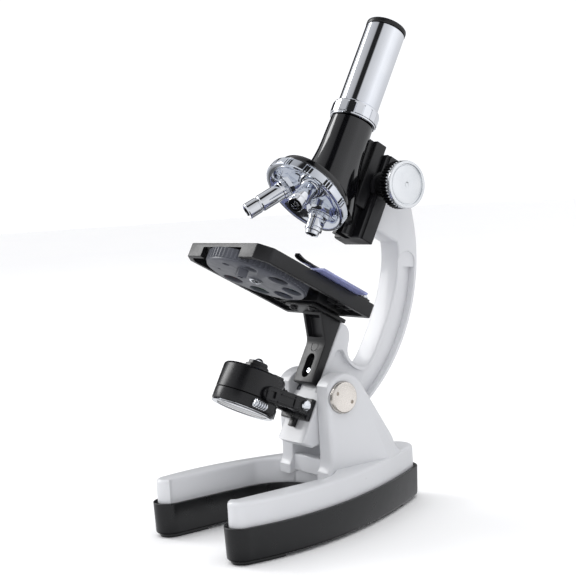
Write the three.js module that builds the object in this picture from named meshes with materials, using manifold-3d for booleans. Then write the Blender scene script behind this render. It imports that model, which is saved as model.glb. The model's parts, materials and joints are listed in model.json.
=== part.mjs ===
// A toy school microscope: horseshoe base, tilting C arm, stage with a filter disc, rack focus,
// three-objective turret, pull-out eyepiece tube and a flip-over lamp and mirror.
// Millimetres. +Z is up, the open end of the horseshoe points to -Y, and X is the pivot axis.
// Pieces on the arm are drawn in the arm's own frame: its origin is the pivot and its +Z runs
// up the tube. The frame leans back by `lean`.
import * as THREE from 'three';
import { mergeVertices } from 'three/addons/utils/BufferGeometryUtils.js';
import Module from 'manifold-3d';

const wasm = await Module();
wasm.setup();

// ---- Driving dimensions -------------------------------------------------------------------
const gap = 0.3;                 // clearance between touching pieces
const edge = 0.8;                // bevel of the white castings' edges
const lean = 28.6;               // degrees that the arm leans back at rest
const pivotHeight = 54;          // pivot axis above the table

// Base
const toeTip = -66.5;            // front end of the toes, Y from the pivot
const rearEnd = 53;              // rear end of the base, Y from the pivot
const toeInner = 19.5;           // half-width of the gap between the toes
const toeWidth = 13.9;
const hipWidth = 40;             // how far the sides are drawn out, half-width
const rearRadius = 10;
const trimBottom = 1.5;
const trimTop = 14.6;
const trimWall = 1.6;
const trimFloor = 2.5;
const castingTop = 24.2;
const castingRound = 2.6;        // rounding of the white casting's top edge
const footLength = 22;
const footInset = 1.4;
const cheekInner = 9.5;          // half-width of the space between the cheeks
const cheekThickness = 8.1;
const cheekFront = -7;
const cheekRadius = 10.85;
const cheekRise = -1;            // cheek top circle's centre, from the pivot
const cheekShift = 2;
const cheekSlope = 32.3;         // degrees, direction that the rear slope faces, above level
const crossWallTop = 27.5;
const crossWallDepth = 4.5;

// Pivot
const boltRadius = 3;
const capRadius = 6.65;
const capThickness = 1.9;
const capPlug = 2.4;             // length of the plug that fills the end of the bore
const capHoleRadius = 0.8;
const capHoleOffset = 3.6;

// Arm
const armHalf = 6;               // half-width of the C
const armFront = -4.6;           // flat front face, Y
const armRadius = 80;            // outer arc
const armBack = 32.2;            // rearmost point of the outer arc, Y
const armBackHeight = 40;        // its height
const armWall = 13;              // thickness of the C at its back
const headUnder = 75.7;          // underside of the head
const headTop = 101;
const headDepth = 14.9;          // from the front face to the C's inner corner
const lugTop = 31.2;
const lugShoulder = [3.8, 23.8];  // where the lug's rear edge turns towards its top
const throat = 18.1;             // lowest point of the C's inside
const footBottom = -23.2;
const footHalf = 9.2;            // half-width of the foot between the cheeks
const grooveDepth = 1.3;
const grooveRim = 1.8;
const pocketFront = -1.9;        // front end of the groove, under the throat

// Tube and focus
const opticalY = -30.4;            // optical axis
const tubeRadius = 9.7;
const tubeBore = 8;
const tubeFlare = 11.6;          // radius at the lower end
const tubeBottom = 88.3;
const tubeTop = 113.4;
const collarTop = 120.6;
const collarRadius = 10.7;
const collarTeeth = 16;
const drawRadius = 8.9;
const drawTop = 158.8;
const drawWall = 1;
const stemRadius = 7.6;
const stemLength = 24;
const rimHeight = 2.4;
const rimRadius = 9.05;
const eyeRadius = 5.6;
const guideHalf = 9.2;
const guideBottom = 67.3;
const guideTop = 107;
const guideDepth = 7.8;
const guideWeb = 3.2;            // what its screw clamps
const railNeckHalf = 3.3;        // T rail on the guide block
const railNeckDepth = 2.3;
const railHeadHalf = 4.6;
const railHeadDepth = 2.3;
const railSlotHalf = 1.9;        // slot down the rail for the rack
const sliderBottom = 80.3;
const sliderTop = 110.5;
const sliderHalf = 6.6;
const sliderWall = 1.4;
const sliderNeckHalf = 4.8;
const rackHalf = 1.3;
const rackPitch = 2;
const focusY = -10.5;            // pinion axis
const focusHeight = 92.8;
const shaftRadius = 1.5;
const pinionRadius = 3.2;
const pinionHalf = 1.6;
const pinionTeeth = 10;
const knobRadius = 10.25;
const knobInner = 18.4;          // where the knob's skirt starts, X
const knobOuter = 25.4;          // its face, X
const knobCapThickness = 1.7;
const knobFlutes = 20;
const hubRadius = 5;

// Turret and objectives
const turretY = -40.5;           // centre of the turret's rim
const turretHeight = 72.6;
const turretTilt = 21.2;         // degrees between the turret's axis and the tube
const turretRadius = 19.7;
const turretRim = 4;
const turretPlate = 1.6;
const turretPin = 1.7;
const backingRadius = 17.5;
const backingThickness = 2.6;
const objectiveRadius = 3.7;
const objectiveShoulder = objectiveRadius + 0.9;
const objectiveBore = 1.8;
const threadRadius = 2.9;
const objectiveReach = { short: 38.2, medium: 44.5, long: 48.7 };

// Stage
const stageTop = 38.7;
const stageHeight = 6.1;
const stageSkin = 1.6;
const stageWall = 2.2;
const stageHalf = 28.5;
const stageFront = -69.5;
const stageRear = -8.1;
const stageChamfer = 5;
const stageHole = 4;
const windowHalf = 13.7;
const windowSkin = 1.9;
const discRadius = 21.9;
const discY = -49.1;
const openingReach = 15.9;      // from the disc's centre to its openings
const discBottom = 31.2;
const discHeight = 5.2;
const discPlate = 1.4;
const discRibs = 32;
const gelRadius = 4.4;
const postSize = 4;              // finger post below the disc
const postDrop = 3.2;
const postPlace = [5.5, -10.9];
const postTurn = -17;
const gelThickness = 0.5;
const slideLength = 67;
const slideWidth = 25;
const slideThickness = 1;
const clipX = 25;
const clipPinY = -12.5;
const clipLength = 39.5;
const clipWidth = 4;
const clipThickness = 0.8;
const clipPinRadius = 1.7;

// Stage bracket
const columnHalf = 6.5;
const columnDepth = 4;
const columnBottom = 1.5;
const columnKnee = 20;
const columnLean = 8.1;          // how far the upper part reaches forward
const flangeHalf = 9.5;
const flangeThickness = 1.7;
const flangeFront = -24.6;
const slotHalf = 2.2;
const slotBottom = 4;
const slotTop = 15.5;
const slotWeb = 1.5;
const screwHead = 1.9;
const wideHead = 2.5;
const screwHeadHeight = 1.2;
const screwShank = 1.1;
const screwDepth = 6.5;          // how far a screw goes into the arm

// Lamp
const lampY = -33.3;
const lampHeight = -11.2;
const lampRadius = 13.3;
const lampLength = 16.8;
const lampWall = 1.5;
const lampSplit = 5.6;           // height of the lower shell
const socketRadius = 5.3;
const socketHeight = 3.6;
const bulbRadius = 1.9;
const yokeY = -15.6;
const yokeHeight = -9.4;
const yokeThickness = 2.4;
const yokeWidth = 6.4;
const yokeBar = 1.5;             // radius of the bar and of the lamp's trunnions
const yokePlate = 2.4;           // thickness of the yoke's bracket
const padHalf = 2.2;             // square pad on each arm
const padHeight = 0.7;
const lugInner = 5.6;
const lugOuter = 8.7;
const lugRadius = 2.5;

// ---- Geometry helpers ---------------------------------------------------------------------
const rad = THREE.MathUtils.degToRad;
const fine = 24;
const medium = 14;
const coarse = 8;

// Turns a closed geometry into a solid, facing out, without its zero-area triangles.
function solidOf(geometry) {
  const bare = geometry.index ? geometry.toNonIndexed() : geometry.clone();
  bare.deleteAttribute('normal');
  bare.deleteAttribute('uv');
  const merged = mergeVertices(bare, 1e-4);
  const points = merged.attributes.position.array;
  const corner = (i) => new THREE.Vector3().fromArray(points, 3 * i);
  const kept = [];
  let volume = 0;
  for (let i = 0; i < merged.index.count; i += 3) {
    const [a, b, c] = [0, 1, 2].map((k) => merged.index.array[i + k]);
    if (a === b || b === c || c === a) continue;
    kept.push(a, b, c);
    volume += corner(a).dot(corner(b).cross(corner(c)));
  }
  const triVerts = new Uint32Array(volume < 0 ? kept.reverse() : kept);
  const mesh = new wasm.Mesh({ numProp: 3, vertProperties: new Float32Array(points), triVerts });
  return new wasm.Manifold(mesh);
}

function join(...solids) {
  return solids.reduce((whole, piece) => whole.add(piece));
}

function cut(solid, ...tools) {
  return tools.reduce((left, tool) => left.subtract(tool), solid);
}

function box(x0, x1, y0, y1, z0, z1) {
  const geometry = new THREE.BoxGeometry(x1 - x0, y1 - y0, z1 - z0);
  geometry.translate((x0 + x1) / 2, (y0 + y1) / 2, (z0 + z1) / 2);
  return solidOf(geometry);
}

// A profile of [radius, height] points turned about a line through `base` along `direction`.
function turned(profile, sides, base = [0, 0, 0], direction = [0, 0, 1]) {
  const closed = [...profile];
  const [first, last] = [profile[0], profile[profile.length - 1]];
  if (first[0] > 0 || last[0] > 0) closed.push(first);
  const geometry = new THREE.LatheGeometry(closed.map(([r, h]) => new THREE.Vector2(r, h)), sides);
  const up = new THREE.Vector3(0, 1, 0);
  const turn = new THREE.Quaternion().setFromUnitVectors(up, new THREE.Vector3(...direction).normalize());
  geometry.applyQuaternion(turn).translate(...base);
  return solidOf(geometry);
}

function rod(radius, h0, h1, sides, base, direction) {
  return turned([[0, h0], [radius, h0], [radius, h1], [0, h1]], sides, base, direction);
}

function ring(inner, outer, h0, h1, sides, base, direction) {
  const profile = [[inner, h0], [outer, h0], [outer, h1], [inner, h1]];
  return turned(profile, sides, base, direction);
}

// Turns x, y and depth into Y, Z and X, for shapes drawn in side view.
const sideways = new THREE.Matrix4().set(0, 0, 1, 0, 1, 0, 0, 0, 0, 1, 0, 0, 0, 0, 0, 1);

// Extrudes a shape; `frame` gives the axes that the shape's x, its y and the depth run along.
function extruded(shape, from, to, frame = 'xyz', bevel = 0, steps = 10) {
  const options = { depth: to - from, bevelEnabled: bevel > 0, curveSegments: steps };
  if (bevel > 0) {
    options.depth = to - from - 2 * bevel;
    options.bevelSize = bevel;
    options.bevelThickness = bevel;
    options.bevelOffset = -bevel;
    options.bevelSegments = 2;
  }
  const geometry = new THREE.ExtrudeGeometry(shape, options);
  geometry.translate(0, 0, from + (bevel > 0 ? bevel : 0));
  if (frame === 'yzx') geometry.applyMatrix4(sideways);
  return solidOf(geometry);
}

// Two distances from the middle plane as low and high X on one side of it.
function onSide(side, near, far) {
  return [side * near, side * far].sort((a, b) => a - b);
}

function polygon(points) {
  return new THREE.Shape(points.map(([a, b]) => new THREE.Vector2(a, b)));
}

// A closed outline moved inwards by `inset` along each point's normal.
function shrunk(points, inset) {
  const count = points.length;
  return points.map((point, i) => {
    const before = points[(i + count - 1) % count];
    const after = points[(i + 1) % count];
    const along = after.clone().sub(before).normalize();
    return new THREE.Vector2(point.x - along.y * inset, point.y + along.x * inset);
  });
}

// Teeth round a wheel: a closed ring of points between two radii.
function toothed(outer, inner, count) {
  const points = [];
  for (let i = 0; i < count; i += 1) {
    [[0.1, outer], [0.45, outer], [0.55, inner], [1, inner]].forEach(([share, radius]) => {
      const angle = (2 * Math.PI * (i + share)) / count;
      points.push([radius * Math.cos(angle), radius * Math.sin(angle)]);
    });
  }
  return polygon(points);
}

function meshOf(solid) {
  const { vertProperties, triVerts } = solid.getMesh();
  const geometry = new THREE.BufferGeometry();
  geometry.setAttribute('position', new THREE.BufferAttribute(new Float32Array(vertProperties), 3));
  geometry.setIndex(new THREE.BufferAttribute(new Uint32Array(triVerts), 1));
  const flat = geometry.toNonIndexed();
  flat.computeVertexNormals();
  return flat;
}

const looks = {
  white: [0xe1e2e5, 0.35, 0.1],
  black: [0x222326, 0.35, 0.1],
  gloss: [0x15151a, 0.12, 0.1],
  chrome: [0xd8dade, 0.08, 1],
  nickel: [0xdad5d0, 0.25, 1],
  steel: [0xa9abb0, 0.3, 1],
  brass: [0xb08d4c, 0.3, 1],
  silver: [0xe3e5e9, 0.3, 0.8],
  mirror: [0xf0f2f5, 0.02, 1],
  glass: [0xcfd6ea, 0.05, 0],
  red: [0x8a2b22, 0.3, 0],
  green: [0x2f7d32, 0.3, 0],
  blue: [0x2c4a8c, 0.3, 0],
  teal: [0x2b6f75, 0.3, 0],
};

function place(group, name, solid, look) {
  const [color, roughness, metalness] = looks[look];
  const material = new THREE.MeshStandardMaterial({ color, roughness, metalness });
  material.name = look;
  const mesh = new THREE.Mesh(meshOf(solid), material);
  mesh.name = name;
  group.add(mesh);
  return mesh;
}

// ---- Base ---------------------------------------------------------------------------------
// The horseshoe's outline, counter-clockwise from the right toe's inner corner.
function horseshoe(inset) {
  const toeRadius = toeWidth / 2;
  const toeX = toeInner + toeRadius;
  const toeY = toeTip + toeRadius;
  const outerX = toeInner + toeWidth;
  const rearY = rearEnd - rearRadius;
  const flank = rad(28.4);
  const tangent = [rearRadius * Math.cos(flank), rearY + rearRadius * Math.sin(flank)];
  const reach = (rearEnd - toeTip) / 3;
  const low = [tangent[0] + reach * Math.sin(flank), tangent[1] - reach * Math.cos(flank)];
  const hipY = toeY + reach * 0.87;
  const path = new THREE.Path();
  path.moveTo(toeInner, toeY);
  path.absarc(toeX, toeY, toeRadius, Math.PI, 2 * Math.PI, false);
  path.bezierCurveTo(hipWidth, hipY, low[0], low[1], tangent[0], tangent[1]);
  path.absarc(0, rearY, rearRadius, flank, Math.PI - flank, false);
  path.bezierCurveTo(-low[0], low[1], -hipWidth, hipY, -outerX, toeY);
  path.absarc(-toeX, toeY, toeRadius, Math.PI, 2 * Math.PI, false);
  path.absarc(0, cheekFront - toeInner + 3, toeInner, Math.PI, 0, true);
  const points = path.getPoints(6);
  const distinct = points.filter((point, i) => point.distanceTo(points[(i + 1) % points.length]) > 0.05);
  return new THREE.Shape(shrunk(distinct, inset));
}

function baseTrim() {
  const tray = extruded(horseshoe(0), trimBottom, trimTop);
  const recess = extruded(horseshoe(trimWall), trimBottom + trimFloor, trimTop + 1);
  const pad = extruded(horseshoe(footInset), 0, trimBottom + 0.5);
  const toes = box(-50, 50, toeTip, toeTip + footLength, -1, trimBottom + 1);
  const heel = box(-50, 50, rearEnd - footLength * 0.85, rearEnd, -1, trimBottom + 1);
  return cut(join(tray, pad.intersect(join(toes, heel))), recess, ...baseScrewPlaces().map(screwPocket));
}

function baseScrewPlaces() {
  const toeX = toeInner + toeWidth / 2;
  return [[toeX, toeTip + 32], [-toeX, toeTip + 32]];
}

function screwPocket([x, y]) {
  const head = rod(wideHead + gap, trimBottom - 2, trimBottom + 1.2, medium, [x, y, 0]);
  return join(head, rod(screwShank + gap, trimBottom, trimBottom + 12, medium, [x, y, 0]));
}

function baseScrew([x, y]) {
  const head = rod(wideHead, trimBottom, trimBottom + 0.9, medium, [x, y, 0]);
  return join(head, rod(screwShank, trimBottom + 0.5, trimBottom + 10, coarse, [x, y, 0]));
}

// One cheek's side view: upright front, round top, straight rear slope.
function cheekShape() {
  const facing = rad(cheekSlope);
  const [cy, cz] = [cheekShift, cheekRise];
  const start = Math.acos((cheekFront - cy) / cheekRadius);
  const leave = [cy + cheekRadius * Math.cos(facing), cz + cheekRadius * Math.sin(facing)];
  const floor = castingTop - pivotHeight - 6;
  const run = (leave[1] - floor) * Math.tan(facing);
  const shape = new THREE.Shape();
  shape.moveTo(cheekFront, floor);
  shape.lineTo(leave[0] + run, floor);
  shape.lineTo(...leave);
  shape.absarc(cy, cz, cheekRadius, facing, start, false);
  return shape;
}

function baseCasting() {
  const bottom = trimBottom + trimFloor + gap;
  const fit = trimWall + gap;
  const lower = extruded(horseshoe(fit), bottom, castingTop - castingRound - 1);
  const upper = extruded(horseshoe(fit), bottom + 1, castingTop, 'xyz', castingRound);
  const outer = cheekInner + cheekThickness;
  // The cheeks' rear corners end flush with the casting's wall.
  const within = extruded(horseshoe(fit), bottom + 2, 100).add(box(-30, 30, -20, 20, bottom + 2, 100));
  const sides = [-1, 1].map((side) => {
    const [low, high] = onSide(side, cheekInner, outer);
    return extruded(cheekShape(), low, high, 'yzx', edge).translate([0, 0, pivotHeight])
      .intersect(within);
  });
  const wall = box(-cheekInner - 1, cheekInner + 1, cheekFront + 0.8, cheekFront + crossWallDepth,
    castingTop - 4, crossWallTop);
  const bore = rod(boltRadius + gap, -outer - 1, outer + 1, medium, [0, 0, pivotHeight], [1, 0, 0]);
  const holes = baseScrewPlaces().map(([x, y]) =>
    rod(screwShank + gap, bottom - 1, bottom + 9, coarse, [x, y, 0]));
  return cut(join(lower, upper, ...sides, wall), bore, ...holes);
}

function pivotBolt() {
  const end = cheekInner + cheekThickness - capPlug;
  return rod(boltRadius, -end, end, medium, [0, 0, pivotHeight], [1, 0, 0]);
}

function pivotCap(side) {
  const outer = cheekInner + cheekThickness + gap;
  const at = [0, 0, pivotHeight];
  const inner = outer - capPlug;
  const profile = [[0, inner], [boltRadius, inner], [boltRadius, outer], [capRadius, outer],
    [capRadius, outer + capThickness - 0.5], [capRadius - 0.5, outer + capThickness],
    [0, outer + capThickness]];
  const holes = [-1, 1].map((end) => {
    const centre = [0, end * capHoleOffset * 0.8, pivotHeight - end * capHoleOffset * 0.6];
    return rod(capHoleRadius, outer + 0.8, outer + 3, medium, centre, [side, 0, 0]);
  });
  return cut(turned(profile, fine, at, [side, 0, 0]), ...holes);
}

// ---- Arm ----------------------------------------------------------------------------------
// The arm's side view.
function armShape() {
  const centre = [armBack - armRadius, armBackHeight];
  const heightAngle = (height) => Math.asin((height - centre[1]) / armRadius);
  const innerY = armBack - armWall;
  const corner = [armFront + headDepth, headUnder];
  const shape = new THREE.Shape();
  shape.moveTo(armFront, footBottom);
  shape.lineTo(centre[0] + armRadius * Math.cos(heightAngle(footBottom)), footBottom);
  shape.absarc(centre[0], centre[1], armRadius, heightAngle(footBottom), heightAngle(headTop), false);
  shape.lineTo(armFront, headTop);
  shape.lineTo(armFront, headUnder);
  shape.lineTo(...corner);
  shape.bezierCurveTo(corner[0] + 6.2, corner[1] - 7.7, innerY, armBackHeight + 12,
    innerY, armBackHeight + 2);
  shape.bezierCurveTo(innerY, throat + 6, innerY - 0.5, throat, innerY - 6, throat);
  shape.quadraticCurveTo(lugShoulder[0] + 1.2, throat - 0.4, ...lugShoulder);
  shape.quadraticCurveTo(lugShoulder[0] - 1, lugTop - 2, armFront + 3.6, lugTop);
  shape.lineTo(armFront, lugTop);
  return shape;
}

// The groove's side view: the band between the inner and outer rims of the C, and a pocket that
// carries it forward under the throat.
function grooveShape() {
  const centre = [armBack - armRadius, armBackHeight];
  const outer = armRadius - grooveRim;
  const inner = armRadius - armWall + grooveRim;
  const [low, high] = [rad(-24), rad(33)];
  const shape = new THREE.Shape();
  shape.absarc(centre[0], centre[1], outer, low, high, false);
  shape.absarc(centre[0], centre[1], inner, high, low, true);
  return shape;
}

function pocketShape() {
  const innerY = armBack - armWall;
  const shape = new THREE.Shape();
  shape.moveTo(pocketFront, 0);
  shape.lineTo(innerY + 6, 0);
  shape.lineTo(innerY + 6, throat + 9);
  shape.lineTo(innerY + grooveRim, throat + 9);
  shape.bezierCurveTo(innerY + grooveRim, throat + 3, innerY - 1, throat - grooveRim,
    innerY - 6, throat - grooveRim);
  shape.quadraticCurveTo(lugShoulder[0] + 1, throat - 0.6, lugShoulder[0] - 1.4, throat + 2.3);
  shape.quadraticCurveTo(pocketFront, throat + 2.6, pocketFront, throat);
  return shape;
}

function arm() {
  const web = extruded(armShape(), -armHalf, armHalf, 'yzx', edge, coarse);
  const foot = extruded(armShape(), gap - footHalf, footHalf - gap, 'yzx', edge, coarse)
    .intersect(box(-20, 20, -60, 60, footBottom - 1, -1));
  const grooves = [-1, 1].map((side) => {
    const [low, high] = onSide(side, armHalf - grooveDepth, armHalf + 1);
    const pocket = extruded(pocketShape(), low, high, 'yzx', 0, coarse);
    return extruded(grooveShape(), low, high, 'yzx', 0, coarse).add(pocket).intersect(
      box(-20, 20, -20, 40, 3, headUnder - 3));
  });
  const pivotBore = rod(boltRadius + gap, -20, 20, medium, [0, 0, 0], [1, 0, 0]);
  const screwHoles = [guideScrewHeight(), bracketScrewHeight(), yokeScrewHeight()].map((height) =>
    rod(screwShank + gap, armFront - 1, armFront + screwDepth + 1, coarse, [0, 0, height], [0, 1, 0]));
  return cut(join(web, foot), ...grooves, pivotBore, ...screwHoles);
}

function guideScrewHeight() {
  return headUnder + 5;
}

function bracketScrewHeight() {
  return slotBottom + 3.4;
}

function yokeScrewHeight() {
  return yokeHeight;
}

// The T rail's cross-section, grown by `fit`.
function railSolid(fit, bottom, top) {
  const root = armFront - gap - guideDepth;
  const neck = root - railNeckDepth;
  return join(
    box(-railNeckHalf - fit, railNeckHalf + fit, neck - 0.1, root + 1, bottom, top),
    box(-railHeadHalf - fit, railHeadHalf + fit, neck - railHeadDepth - fit, neck + fit, bottom, top));
}

function guideBlock() {
  const rear = armFront - gap;
  const root = rear - guideDepth;
  const block = box(-guideHalf, guideHalf, root, rear, guideBottom, guideTop);
  const rackRoom = box(-railSlotHalf, railSlotHalf, root - 10, focusY - 1, guideBottom - 1, guideTop + 1);
  const well = box(-railSlotHalf, railSlotHalf, root, focusY + pinionRadius + gap,
    focusHeight - pinionRadius - gap, focusHeight + pinionRadius + gap);
  const bore = rod(shaftRadius + gap, -20, 20, medium, [0, focusY, focusHeight], [1, 0, 0]);
  const at = [0, 0, guideScrewHeight()];
  const screw = join(rod(screwHead + gap, root - 6, rear - guideWeb, medium, at, [0, 1, 0]),
    rod(screwShank + gap, root, 0, coarse, at, [0, 1, 0]));
  return cut(join(block, railSolid(0, guideBottom, guideTop)), rackRoom, well, bore, screw);
}

function guideScrew() {
  const seat = armFront - 2 * gap - guideWeb;
  const at = [0, 0, guideScrewHeight()];
  return join(rod(screwHead, seat - screwHeadHeight, seat, medium, at, [0, 1, 0]),
    rod(screwShank, seat - 0.5, armFront + screwDepth, coarse, at, [0, 1, 0]));
}

// ---- Stage bracket and stage --------------------------------------------------------------
function bracketSide() {
  const rear = armFront - gap;
  const front = rear - columnDepth;
  const under = stageTop - stageHeight - gap - flangeThickness;
  return polygon([[front, columnBottom], [rear, columnBottom], [rear, under + 0.5],
    [front - columnLean, under + 0.5], [front, columnKnee]]);
}

function stageBracket() {
  const rear = armFront - gap;
  const front = rear - columnDepth;
  const top = stageTop - stageHeight - gap;
  const under = top - flangeThickness;
  const column = extruded(bracketSide(), -columnHalf, columnHalf, 'yzx', 0.4);
  const flange = box(-flangeHalf, flangeHalf, flangeFront, rear, under, top);
  const hollow = extruded(polygon([[front + 1.5, columnKnee + 1], [rear + 1, columnKnee + 1],
    [rear + 1, under], [front - columnLean + 2.5, under]]), -columnHalf + 1.5, columnHalf - 1.5, 'yzx');
  const slot = new THREE.Shape();
  slot.absarc(0, slotTop - slotHalf, slotHalf, 0, Math.PI, false);
  slot.absarc(0, slotBottom + slotHalf, slotHalf, Math.PI, 2 * Math.PI, false);
  const pocket = extruded(slot, 0, 8, 'xyz', 0, coarse).rotate([90, 0, 0]).translate([0, rear - slotWeb, 0]);
  const bore = rod(screwShank + gap, -20, 5, coarse, [0, 0, bracketScrewHeight()], [0, 1, 0]);
  const bores = [-1, 1].map((side) =>
    rod(screwShank + gap, under - 2, top + 2, coarse, [side * stageScrewX(), stageScrewY(), 0]));
  return cut(join(column, flange), hollow, pocket, bore, ...bores);
}

function bracketScrew() {
  const seat = armFront - gap - slotWeb - gap;
  const at = [0, 0, bracketScrewHeight()];
  const head = rod(screwHead, seat - screwHeadHeight, seat, medium, at, [0, 1, 0]);
  return join(head, rod(screwShank, seat - 0.5, armFront + screwDepth, coarse, at, [0, 1, 0]));
}

function stageScrewX() {
  return flangeHalf - 3;
}

function stageScrewY() {
  return flangeFront + 3;
}

function stageScrew(side) {
  const under = stageTop - stageHeight - gap - flangeThickness - gap;
  const at = [side * stageScrewX(), stageScrewY(), 0];
  return join(rod(screwHead, under - 1, under, medium, at),
    rod(screwShank, under - 0.5, stageTop - stageSkin - 0.4, coarse, at));
}

function stageOutline(inset) {
  const half = stageHalf - inset;
  const front = stageFront + inset;
  const chamfer = stageChamfer - inset * 0.6;
  return polygon([[-half, stageRear - inset], [-half, front + chamfer], [-half + chamfer, front],
    [half - chamfer, front], [half, front + chamfer], [half, stageRear - inset]]);
}

function stagePlate() {
  const bottom = stageTop - stageHeight;
  const skin = stageTop - stageSkin;
  const hollow = extruded(stageOutline(stageWall), bottom - 1, skin);
  const shell = cut(extruded(stageOutline(0), bottom, stageTop), hollow);
  const seat = box(-flangeHalf - 2, flangeHalf + 2, flangeFront, stageRear, bottom, skin + 0.5);
  const boss = rod(3, discBottom + discPlate + gap, skin + 0.5, medium, [0, discY, 0]);
  const window = box(-windowHalf, windowHalf, stageFront - 1, stageFront + stageWall + 0.5, bottom - 1,
    stageTop - windowSkin);
  const hole = rod(stageHole, bottom - 1, stageTop + 1, medium, [0, opticalY, 0]);
  const boreDisc = rod(screwShank + gap, bottom - 5, skin + 0.6, coarse, [0, discY, 0]);
  const bores = [-1, 1].flatMap((side) => [
    rod(screwShank + gap, bottom - 1, skin, coarse, [side * stageScrewX(), stageScrewY(), 0]),
    rod(screwShank + gap, skin - 1, stageTop + 1, coarse, [side * clipX, clipPinY, 0])]);
  return cut(join(shell, seat, boss), window, hole, boreDisc, ...bores);
}

// ---- Filter disc --------------------------------------------------------------------------
// Openings round the disc, every 45 degrees: radius and the gel that covers it.
const openings = [
  { angle: 0, radius: 4.2, gel: null },
  { angle: 45, radius: 4.2, gel: 'teal' },
  { angle: 90, radius: 4.2, gel: 'blue' },
  { angle: 135, radius: 4.2, gel: 'green' },
  { angle: 180, radius: 4.2, gel: 'red' },
  { angle: 225, radius: 0.5, gel: null },
  { angle: 270, radius: 1.4, gel: null },
  { angle: 315, radius: 2.6, gel: null },
];

function openingPlace({ angle }) {
  return [openingReach * Math.cos(rad(angle)), discY + openingReach * Math.sin(rad(angle)), 0];
}

function filterDisc() {
  const top = discBottom + discHeight;
  const wheel = extruded(toothed(discRadius, discRadius - 0.5, discRibs), discBottom + 0.8, top)
    .translate([0, discY, 0]);
  const rim = rod(discRadius - 0.5, discBottom, discBottom + 1, fine + 8, [0, discY, 0]);
  const hollow = rod(discRadius - 1.3, discBottom + discPlate, top + 1, fine, [0, discY, 0]);
  const half = postSize / 2;
  const post = box(-half, half, -half, half, discBottom - postDrop, discBottom + 0.5)
    .rotate([0, 0, postTurn]).translate([postPlace[0], discY + postPlace[1], 0]);
  const holes = openings.map((opening) =>
    rod(opening.radius, discBottom - 1, top, coarse, openingPlace(opening)));
  const bore = rod(screwShank + gap, discBottom - 1, top, coarse, [0, discY, 0]);
  return cut(join(wheel, rim, post), hollow, ...holes, bore);
}

function filterScrew() {
  const seat = discBottom - gap;
  return join(rod(wideHead, seat - 1, seat, medium, [0, discY, 0]),
    rod(screwShank, seat - 0.5, stageTop - stageSkin, coarse, [0, discY, 0]));
}

function gel(opening) {
  const bottom = discBottom + discPlate + gap;
  return rod(gelRadius, bottom, bottom + gelThickness, coarse, openingPlace(opening));
}

// ---- Slide and clips ----------------------------------------------------------------------
function glassSlide() {
  const bottom = stageTop + gap;
  return box(-slideLength / 2, slideLength / 2, opticalY - slideWidth / 2, opticalY + slideWidth / 2,
    bottom, bottom + slideThickness);
}

// A spring clip's side view: low at the pin, over the slide, and turned up at its tip.
function clipShape() {
  const low = stageTop + gap;
  const high = low + slideThickness + 0.5;
  const rear = clipPinY + 3;
  const tip = clipPinY - clipLength;
  const line = [[rear, low], [clipPinY - 3, low], [clipPinY - 4.6, high], [tip + 8, high], [tip, high + 1.4]];
  const upper = line.map(([y, z]) => [y, z + clipThickness]).reverse();
  return polygon([...line, ...upper]);
}

function clip(side) {
  const strip = extruded(clipShape(), side * clipX - clipWidth / 2, side * clipX + clipWidth / 2, 'yzx');
  return cut(strip, rod(screwShank + gap, stageTop - 1, stageTop + 4, coarse, [side * clipX, clipPinY, 0]));
}

function clipPin(side) {
  const seat = stageTop + gap + clipThickness + gap;
  const low = stageTop - stageSkin + 0.3;
  const profile = [[0, low], [screwShank, low], [screwShank, seat], [clipPinRadius, seat],
    [clipPinRadius * 0.75, seat + 0.8], [0, seat + 1.1]];
  return turned(profile, coarse, [side * clipX, clipPinY, 0]);
}

// ---- Tube and focus -----------------------------------------------------------------------
const onAxis = [0, opticalY, 0];

const sliderRear = armFront - 2 * gap - guideDepth;
const sliderFloor = sliderRear - railNeckDepth - railHeadDepth;

function sliderRoom() {
  return box(-sliderHalf - gap, sliderHalf + gap, sliderFloor - sliderWall - gap, 0, sliderBottom - gap,
    sliderTop + gap);
}

function tubeOutline(fit) {
  return [[tubeFlare + fit, tubeBottom], [tubeFlare - 0.9 + fit, tubeBottom + 4.3],
    [tubeRadius + 0.5 + fit, tubeBottom + 10], [tubeRadius + fit, tubeTop - 8],
    [tubeRadius - 0.3 + fit, tubeTop]];
}

function bodyTube() {
  const outline = [[tubeBore, tubeBottom], ...tubeOutline(0), [tubeBore, tubeTop]];
  return cut(turned(outline, fine, onAxis), sliderRoom());
}

function slider() {
  const face = sliderFloor - sliderWall;
  const block = box(-sliderHalf, sliderHalf, face, sliderRear, sliderBottom, sliderTop);
  const neck = box(-sliderNeckHalf, sliderNeckHalf, face - 5, face + 0.5, tubeBottom + 3, sliderTop);
  const low = tubeBottom - 20;
  const outline = [[0, low], [tubeFlare + gap, low], ...tubeOutline(gap), [0, tubeTop]];
  return cut(join(block, neck), turned(outline, fine, onAxis).intersect(box(-20, 20, -60, face, 0, 200)),
    railSolid(gap, sliderBottom - 1, sliderTop + 1));
}

function rack() {
  const tipY = focusY - pinionRadius - gap;
  const back = sliderFloor + gap;
  const points = [[back, sliderBottom], [back, sliderTop]];
  const count = Math.floor((sliderTop - sliderBottom) / rackPitch);
  for (let i = count - 1; i >= 0; i -= 1) {
    const z = sliderBottom + i * rackPitch;
    points.push([tipY - 1, z + rackPitch], [tipY, z + rackPitch * 0.72], [tipY, z + rackPitch * 0.28]);
  }
  points.push([tipY - 1, sliderBottom]);
  return extruded(polygon(points.reverse()), -rackHalf, rackHalf, 'yzx');
}

function pinionShaft() {
  const end = knobOuter - knobCapThickness - 1;
  return rod(shaftRadius, -end, end, coarse, [0, focusY, focusHeight], [1, 0, 0]);
}

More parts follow.
